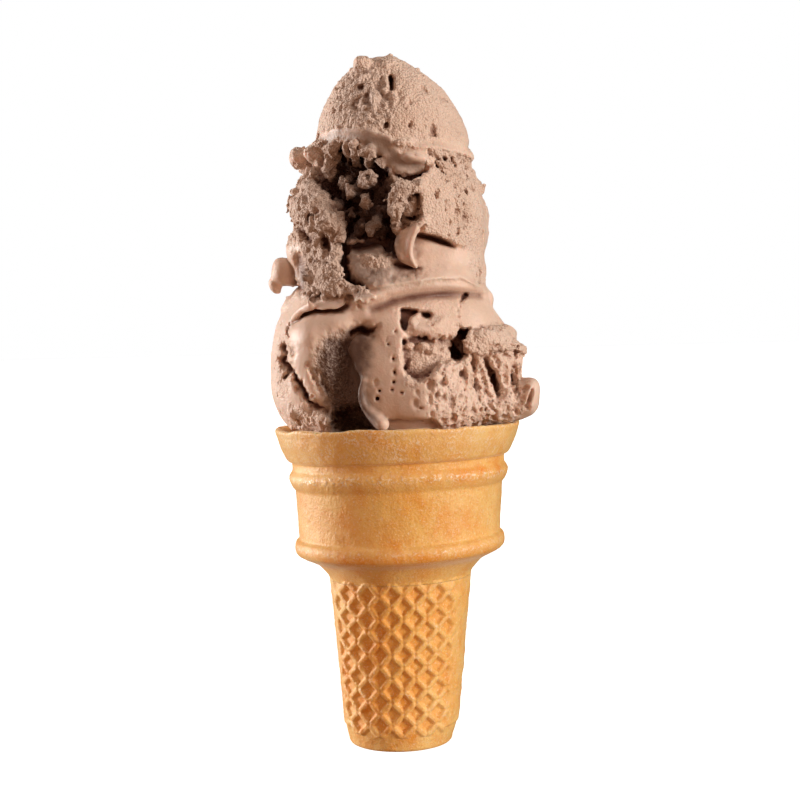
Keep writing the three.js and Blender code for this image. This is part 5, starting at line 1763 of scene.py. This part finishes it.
@dataclass
class Wafer:
    """Wafer cup in one skin: foot, latticed stem, collar, lip, band, bead, flared rim and inside."""

    segments: int = 440
    row_fine: float = 0.2
    row_coarse: float = 0.36
    row_rim: float = 0.22
    row_inside: float = 1.2
    lattice_low: float = 1.6
    lattice_high: float = 38.4
    cell_across: float = 2.6
    cell_up: float = 2.62
    cell_shift: float = 0.45
    first_up: float = 6.1
    rows: int = 12
    columns: int = 6
    floor_depth: float = 0.42
    ridge_rise: float = 0.4
    ridge_flat: float = 0.32
    ridge_foot: float = 1.12
    crossing_dip: float = 0.28
    lattice_left: float = -67.0
    lattice_right: float = 50.0
    strip_rise: float = 0.34
    strip_foot: float = 4.7
    sag_reach: float = 0.9
    lattice_fade: float = 1.7
    rim_waves: PAIR = (68.2, 70.7)
    flare_starts: PAIR = (63.4, 64.6)
    seeds: tuple[int, int] = (21, 22)
    finish: BakedWafer = field(default_factory=BakedWafer)

    # radius and height of the smooth outside, from the foot's edge up to the rim
    OUTSIDE: ClassVar = (
        (10.2, 0.0), (10.9, 0.12), (11.35, 0.6), (11.55, 1.4), (11.98, 3.0), (12.36, 4.6), (12.6, 7.0),
        (13.9, 21.0), (15.28, 36.2), (15.42, 37.0), (15.7, 37.7), (16.55, 38.8), (17.75, 40.1),
        (18.7, 40.9), (20.1, 41.65), (21.3, 42.2), (21.95, 42.55), (22.1, 42.75), (22.6, 42.95),
        (23.05, 43.5), (23.3, 44.3), (23.3, 45.1), (23.1, 45.8), (22.72, 46.25), (22.38, 46.42),
        (22.28, 46.6), (22.28, 46.95), (22.31, 47.8), (22.42, 50.5), (22.6, 53.5), (22.8, 56.3),
        (22.86, 57.05), (22.92, 57.32), (23.2, 57.6), (23.65, 58.2), (24.02, 59.0), (24.22, 59.7),
        (24.18, 60.3), (23.94, 60.9), (23.66, 61.3), (23.5, 61.55), (23.46, 61.9), (23.47, 62.8),
        (23.54, 63.35), (24.05, 63.55), (24.5, 63.85), (24.85, 64.4), (25.25, 65.2), (25.68, 66.1),
        (26.05, 67.0), (26.38, 68.0), (26.66, 69.0), (26.9, 69.8), (27.0, 70.3),
    )
    RIM: ClassVar = (
        (27.0, 70.3), (26.9, 70.58), (26.55, 70.72), (25.9, 70.7), (25.45, 70.45), (25.3, 69.9)
    )
    # the inside, from the rim down to the floor
    INSIDE: ClassVar = (
        (25.3, 69.9), (24.95, 68.8), (21.75, 62.6), (21.1, 58.0), (20.35, 46.4), (18.9, 43.0), (14.1, 38.7),
        (13.2, 35.3), (10.6, 4.4), (9.4, 3.0), (4.0, 3.0),
    )
    # how far the stem leans towards -X by height
    LEAN: ClassVar = ((0.0, -0.85), (7.0, -0.55), (36.0, -0.1), (48.0, 0.0), (80.0, 0.0))
    # how far the rings lie too high in front by height
    SAG: ClassVar = (
        (0.0, 0.0), (41.0, 0.0), (43.0, -0.3), (46.5, -0.3), (50.0, 0.0), (55.5, 0.0), (58.5, 0.7),
        (61.0, 0.7), (64.0, 0.1), (70.7, 0.3)
    )
    # brown patches, one of them painted shade, and pale painted highlights on the lit left side:
    # strength, bearing, height, reach in degrees and reach in height
    BROWNED_AND_SHADED: ClassVar = (
        (0.75, 42, 60.0, 26, 1.7), (0.55, -18, 43.6, 34, 2.0), (0.45, 30, 43.8, 30, 1.6),
        (0.35, 6, 67.5, 30, 4.5), (0.15, 28, 50.5, 26, 4.5), (0.55, -86, 20, 11, 22),
        # the last patch in the next row, low on the band's left, is painted shade
        (0.35, 4, 6.0, 22, 3.5), (0.25, -52, 20, 14, 16), (0.40, -24, 16, 22, 18), (0.40, -27, 49, 16, 7),
        (0.75, 210, 60.0, 40, 1.7), (0.5, 160, 43.8, 50, 1.8),
    )
    PAINTED_HIGHLIGHTS: ClassVar = ((0.7, -30, 60.4, 34, 0.9), (0.5, -40, 62.4, 24, 1.4), (0.4, -62, 52, 12, 6))
    # crests of the bead and the lip, and the rim's edge: height, reach and how badly they tore
    CRESTS: ClassVar = ((59.7, 0.9, 1.0), (44.9, 0.8, 0.55), (70.6, 0.5, 0.8))
    # how far the rings slope up towards +X by height, as a share of X
    SLOPE: ClassVar = ((0.0, 0.0), (22.0, 0.0), (42.0, 0.024), (62.0, 0.024), (70.7, 0.012))

    def rings(self) -> ARRAY:
        """Lays out the rows of the skin.

        Returns:
            Radius and height of each row, from the foot over the rim to the floor inside.
        """
        outside = curve_through(self.OUTSIDE, steps=24)
        rim = curve_through(self.RIM, steps=24)
        inside = np.array(self.INSIDE)
        rows = []
        for line, low, high, step in (
            (outside, 0.0, self.lattice_high, self.row_fine),
            (outside, self.lattice_high, 99.0, self.row_coarse), (rim, 0.0, 99.0, self.row_rim),
            (inside, 0.0, 99.0, self.row_inside)
        ):
            part = line[(line[:, 1] >= low) & (line[:, 1] <= high)]
            length = np.concatenate([[0], np.cumsum(np.hypot(*np.diff(part, axis=0).T))])
            spots = np.linspace(0, length[-1], max(int(length[-1] / step), 2), endpoint=False)
            rows.append(np.stack([np.interp(spots, length, part[:, i]) for i in (0, 1)], axis=1))
        rows.append(inside[-1:])
        return np.concatenate(rows)

    def lattice(self, turn: ARRAY, radius: ARRAY, up: ARRAY) -> tuple[ARRAY, ARRAY]:
        """Works out the lattice of diamond-shaped cells between rounded ridges.

        Args:
            turn: Bearing of each point from the middle of its half of the mould, in radians.
            radius: Radius of the stem there.
            up: Height of each point.

        Returns:
            How far the skin stands off the smooth stem, and 1 in a cell's floor and 0 on a ridge.
        """
        across = radius * (np.sin(turn) + turn) / 2 - self.cell_shift
        u, v = across / self.cell_across, (up - self.first_up) / self.cell_up
        # cells lie where column and row are both even or both odd
        a, b = (u + v) / 2, (u - v) / 2
        near_a, near_b = np.round(a), np.round(b)
        column, row = near_a + near_b, near_a - near_b
        left, right = math.radians(self.lattice_left), math.radians(self.lattice_right)
        du, dv = np.abs(u - column), np.abs(v - row)
        real = (row >= 0) & (row < self.rows) & (np.abs(column) <= self.columns)
        side = math.hypot(1 / self.cell_across, 1 / self.cell_up)
        away = np.abs(1 - du - dv) / side
        # beyond the outermost ridges a point may lie in a cell that isn't there
        ridge = ease(self.ridge_foot, self.ridge_flat, away)
        ridge = ridge * (1 - 0.25 * np.clip(away / self.ridge_foot, 0, 1) ** 2)
        skew = np.abs(du - dv)
        ridge = ridge * (1 - self.crossing_dip * ease(0.72, 1.0, skew))
        near_ridge = self.beside(column, row, u, v) > 0
        inner = -self.floor_depth + (self.floor_depth + self.ridge_rise) * ridge
        outer = np.where(near_ridge, self.ridge_rise * ridge, 0.0)
        relief = np.where(real, inner, outer)
        floor = np.where(real, 1 - ease(0.05, 0.8, ridge), 0.0)
        inside = ease(left - 0.06, left + 0.03, turn) * ease(right + 0.08, right - 0.08, turn)
        return relief * inside + self.strip_rise * (1 - inside) * ease(
            self.strip_foot - 0.3, self.strip_foot + 0.3, up
        ), floor * inside

    def beside(self, column: ARRAY, row: ARRAY, u: ARRAY, v: ARRAY) -> ARRAY:
        """Tells whether a point in a missing cell faces a cell that is there.

        Args:
            column: Column of the cell that the point lies in.
            row: Its row.
            u: Place across in columns.
            v: Place up in rows.

        Returns:
            1 where the next cell over the nearest side exists, and 0 elsewhere.
        """
        next_row = row + np.where(v > row, 1, -1)
        next_column = column + np.where(u > column, 1, -1)
        there = (next_row >= 0) & (next_row < self.rows) & (np.abs(next_column) <= self.columns)
        return there.astype(np.float32)

    def build(self) -> bpy.types.Object:
        """Builds and dresses the cup.

        Returns:
            The cup.
        """
        rows = self.rings()
        bearing = np.linspace(-math.pi, math.pi, self.segments, endpoint=False)
        radius, up = (rows[:, i][:, None] + 0 * bearing[None, :] for i in (0, 1))
        bearing = bearing[None, :] + 0 * radius
        outer = np.arange(len(rows))[:, None] < np.argmax(rows[:, 1])
        half = (bearing + math.pi / 2) % math.pi - math.pi / 2
        stem = outer & (up > self.lattice_low) & (up < self.lattice_high)
        relief, floor = self.lattice(half, radius + self.ridge_rise, up)
        relief, floor = np.where(stem, relief, 0.0), np.where(stem, floor, 0.0)
        # the ridges run out where the collar swings outwards
        fade = ease(self.lattice_high, self.lattice_high - self.lattice_fade, up)
        relief, floor = relief * fade, floor * fade
        coarse, fine = (Noise(seed) for seed in self.seeds)
        x, y = radius * np.sin(bearing), -radius * np.cos(bearing)
        rough = self.crests(up)
        bumps = 0.10 * coarse.at(x, y, up, 14.0) + 0.05 * coarse.at(x, y, up + 40, 4.0)
        bumps = bumps + 0.03 * fine.at(x, y, up, 1.3)
        bumps = bumps + rough * (0.10 * fine.at(x, y, up, 0.95) + 0.06 * coarse.at(x, y, up, 2.1))
        ridge_noise = 0.07 * coarse.at(x, y, up, 2.6) + 0.05 * fine.at(x, y, up, 1.1)
        bumps = bumps + np.where(stem, np.clip(relief, 0, 1) / self.ridge_rise * ridge_noise, 0.0)
        bumps = np.where(outer, bumps, 0.3 * bumps)
        at_rim = ease(*self.rim_waves, up)
        lift = at_rim * (0.22 * coarse.at(x, y, 5.0 + 0 * up, 11.0) + 0.10 * fine.at(x, y, 0 * up, 2.4))
        flat = ease(0.05, 0.6, up)
        radius = radius + (relief + bumps) * np.where(outer, flat, 1.0)
        x, y = radius * np.sin(bearing), -radius * np.cos(bearing)
        x = x + read_table(self.LEAN, up)
        lift = lift + x * read_table(self.SLOPE, up)
        lift = lift + np.exp(-((bearing / self.sag_reach) ** 2)) * read_table(self.SAG, up)
        points = np.stack([x, y, up + lift], axis=2).reshape(-1, 3)
        item = self.skin(points, len(rows))
        toast_and_shade, flake_and_highlight = self.bake(bearing, up, relief, rough, coarse, outer)
        spare = np.zeros(2)
        for name, share in (("floor", 0.6 * floor), ("toast_and_shade", toast_and_shade), ("flake_and_highlight", flake_and_highlight)):
            give_attribute(item, name, np.concatenate([share.ravel(), spare]))
        item.data.materials.append(self.finish.material())
        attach(item, "root")
        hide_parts("wafer_cone")
        log.info("%s has %d faces", item.name, len(item.data.polygons))
        return item

    def skin(self, points: ARRAY, count: int) -> bpy.types.Object:
        """Closes the rows into a skin.

        Args:
            points: Points of all rows, row by row.
            count: Number of rows.

        Returns:
            The object.
        """
        size = self.segments
        step = np.arange(size)
        ahead = (step + 1) % size
        base = (np.arange(count - 1) * size)[:, None]
        quads = np.stack([base + step, base + ahead, base + size + ahead, base + size + step], axis=2)
        last = (count - 1) * size
        foot, floor = len(points), len(points) + 1
        under = np.stack([ahead, step, np.full(size, foot)], axis=1)
        over = np.stack([last + step, last + ahead, np.full(size, floor)], axis=1)
        middles = points[[0, last]] * [0, 0, 1]
        middles[0] += [self.LEAN[0][1], 0, 0]
        return mesh_object(
            "wafer_cup", np.concatenate([points, middles]), quads.reshape(-1, 4),
            np.concatenate([under, over])
        )

    def crests(self, up: ARRAY) -> ARRAY:
        """Tells by height where the skin tore, as a share from 0 to 1."""
        return np.clip(sum(much * np.exp(-(((up - z) / tall) ** 2)) for z, tall, much in self.CRESTS), 0, 1)

    def near(self, bearing: ARRAY, up: ARRAY, places: Iterable[Sequence[float]]) -> ARRAY:
        """Sums soft spots on the skin.

        Args:
            bearing: Bearing of each point.
            up: Its height.
            places: Strength, bearing in degrees, height, reach in degrees and reach in height.

        Returns:
            The sum at each point.
        """
        total = np.zeros_like(up)
        for share, turn, height, wide, tall in places:
            away = (bearing - math.radians(turn) + math.pi) % (2 * math.pi) - math.pi
            total += share * np.exp(-((away / math.radians(wide)) ** 2) - ((up - height) / tall) ** 2)
        return total

    def bake(
        self, bearing: ARRAY, up: ARRAY, relief: ARRAY, rough: ARRAY, noise: Noise, outer: ARRAY
    ) -> tuple[ARRAY, ARRAY]:
        """Tells where the wafer toasts or flakes, and where shade and highlights are painted.

        Args:
            bearing: Bearing of each point.
            up: Its height.
            relief: How far it stands off the smooth stem.
            rough: Share of torn crest.
            noise: Noise for the patches.
            outer: Whether a point lies outside.

        Returns:
            Shares of toasting with painted shade, and of pale flakes with painted highlights, 0 to 1.
        """
        x, y = 20 * np.sin(bearing), -20 * np.cos(bearing)
        patches = noise.at(x, y, up, 9.0) + 0.6 * noise.at(x, y, up + 70, 3.2)
        toast_and_shade = 0.30 + 0.30 * patches + self.near(bearing, up, self.BROWNED_AND_SHADED)
        flare = ease(*self.flare_starts, up) * (0.5 + 0.4 * noise.at(x, y + 40, up, 3.6))
        # pale painted highlights on the lit left side; torn crests are partly flakes, partly highlight
        frost = self.near(bearing, up, self.PAINTED_HIGHLIGHTS) * (0.6 + 0.8 * noise.at(x, y, up + 50, 1.4))
        flake_and_highlight = rough * (0.8 + 0.6 * noise.at(x, y, up + 25, 4.2)) + flare + np.clip(frost, 0, 1)
        # pale painted highlights on the lattice's ridge tops
        crest = np.clip(relief / self.ridge_rise, 0, 1) ** 3
        flake_and_highlight = flake_and_highlight + crest * np.clip(0.05 + 0.55 * noise.at(x, y, up + 90, 4.6), 0, 1)
        flake_and_highlight = flake_and_highlight * np.where(outer, 1.0, 0.3)
        return np.clip(toast_and_shade, 0, 1), np.clip(flake_and_highlight, 0, 1)


# ---------------------------------------------------------------- studio


@dataclass
class Studio:
    """Pale floor, soft lights and the camera."""

    camera_at: SPOT = (0.74, -350.0, 91.6)
    camera_down: float = 2.55
    camera_roll: float = -1.37
    focus_pixels: float = 1581.0
    image_pixels: float = 800.0
    sensor_mm: float = 36.0
    floor_reach: float = 6.0
    card_at: SPOT = (-36.0, -70.0, 2.0)
    card_aim: float = 26.0
    card_size: float = 90.0
    card_power: float = 0.0108
    card_tint: str = "#ffe0c4"
    paint: str = "#f4f3f1"
    white: str = "#ffffff"

    # name, bearing from the front towards +X, height above the horizon, strength, size as an angle
    # and colour of each far light
    SUNS: ClassVar = (
        ("key", 64, 8, 3.2, 22, "#fff8f0"), ("left", -111, 4, 4.1, 22, "#fffaf6"),
        ("top", -16, 66, 0.76, 60, "#fff6ee"), ("fill", -12, -12, 0.76, 140, "#ffc096"),
    )

    def camera(self) -> bpy.types.Object:
        """Sets the camera in front of the cone.

        Returns:
            The camera.
        """
        data = bpy.data.cameras.new("camera")
        data.sensor_width = self.sensor_mm
        data.lens = self.focus_pixels / self.image_pixels * self.sensor_mm
        data.clip_start = 0.01
        data.clip_end = 50
        item = bpy.data.objects.new("camera", data)
        item.location = Vector(self.camera_at) * MM
        level = Euler((math.radians(90 - self.camera_down), 0, 0)).to_matrix()
        roll = Matrix.Rotation(math.radians(self.camera_roll), 3, "Z")
        item.rotation_euler = (level @ roll).to_euler()
        bpy.context.scene.collection.objects.link(item)
        bpy.context.scene.camera = item
        return item

    def light(
        self, name: str, kind: str, towards: Vector, tint: str, **settings: float | str
    ) -> bpy.types.Object:
        """Adds a light.

        Args:
            name: Name of the light.
            kind: Blender's name of its type.
            towards: Direction that it comes from.
            tint: Its colour.
            settings: Other properties of the light, by name.

        Returns:
            The light.
        """
        data = bpy.data.lights.new(name, kind)
        data.color = linear(tint)[:3]
        for key, value in settings.items():
            setattr(data, key, value)
        item = bpy.data.objects.new(name, data)
        item.rotation_mode = "QUATERNION"
        item.rotation_quaternion = towards.to_track_quat("Z", "Y")
        bpy.context.scene.collection.objects.link(item)
        return item

    def suns(self) -> None:
        """Adds the far soft lights."""
        for name, bearing, height, strength, soft, tint in self.SUNS:
            a, e = math.radians(bearing), math.radians(height)
            towards = Vector((math.sin(a) * math.cos(e), -math.cos(a) * math.cos(e), math.sin(e)))
            self.light(name, "SUN", towards, tint, energy=strength, angle=math.radians(soft))

    def card(self) -> None:
        """Lays the reflector card in front of the foot, which throws light up at the stem."""
        at = Vector(self.card_at) * MM
        item = self.light(
            "card", "AREA", at - Vector((0, 0, self.card_aim * MM)), self.card_tint, shape="DISK",
            size=self.card_size * MM, energy=self.card_power
        )
        item.location = at
        item.visible_camera = False

    def floor(self) -> bpy.types.Object:
        """Lays the plain pale floor.

        Returns:
            The floor.
        """
        r = self.floor_reach
        points = np.array([(-r, -r, 0), (r, -r, 0), (r, r, 0), (-r, r, 0)])
        item = mesh_object("floor", points, np.array([[0, 1, 2, 3]]), scale=1.0)
        made = bpy.data.materials.new("pale_floor_matt_paint")
        made.use_nodes = True
        tree = made.node_tree
        tree.nodes.clear()
        shader = add_node(
            tree, "ShaderNodeBsdfPrincipled",
            values={
                "Base Color": linear(self.paint), "Roughness": 0.9, "Specular IOR Level": 0.0,
                "Emission Color": linear(self.white), "Emission Strength": 1.0
            }
        )
        add_node(tree, "ShaderNodeOutputMaterial", links={"Surface": shader.outputs["BSDF"]})
        item.data.materials.append(made)
        item.visible_diffuse = item.visible_glossy = item.visible_shadow = False
        return item

    def world(self) -> None:
        """Makes the white surroundings, which the camera sees and the object doesn't."""
        scene = bpy.context.scene
        scene.world = bpy.data.worlds.new("studio")
        scene.world.use_nodes = True
        tree = scene.world.node_tree
        tree.nodes.clear()
        white = add_node(
            tree, "ShaderNodeBackground", values={"Color": linear(self.white), "Strength": 1.0}
        )
        add_node(tree, "ShaderNodeOutputWorld", links={"Surface": white.outputs["Background"]})
        seen = scene.world.cycles_visibility
        seen.diffuse = seen.glossy = seen.transmission = seen.scatter = False

    def build(self) -> None:
        """Builds the whole studio."""
        self.camera()
        self.world()
        self.floor()
        self.suns()
        self.card()
        scene = bpy.context.scene
        scene.view_settings.view_transform = "Standard"
        scene.view_settings.look = "None"


def main() -> None:
    """Builds the looks in order."""
    logging.basicConfig(level=logging.INFO, format="%(name)s: %(message)s")
    Studio().build()
    Wafer().build()
    IceCream().build()


if __name__ == "__main__":
    main()
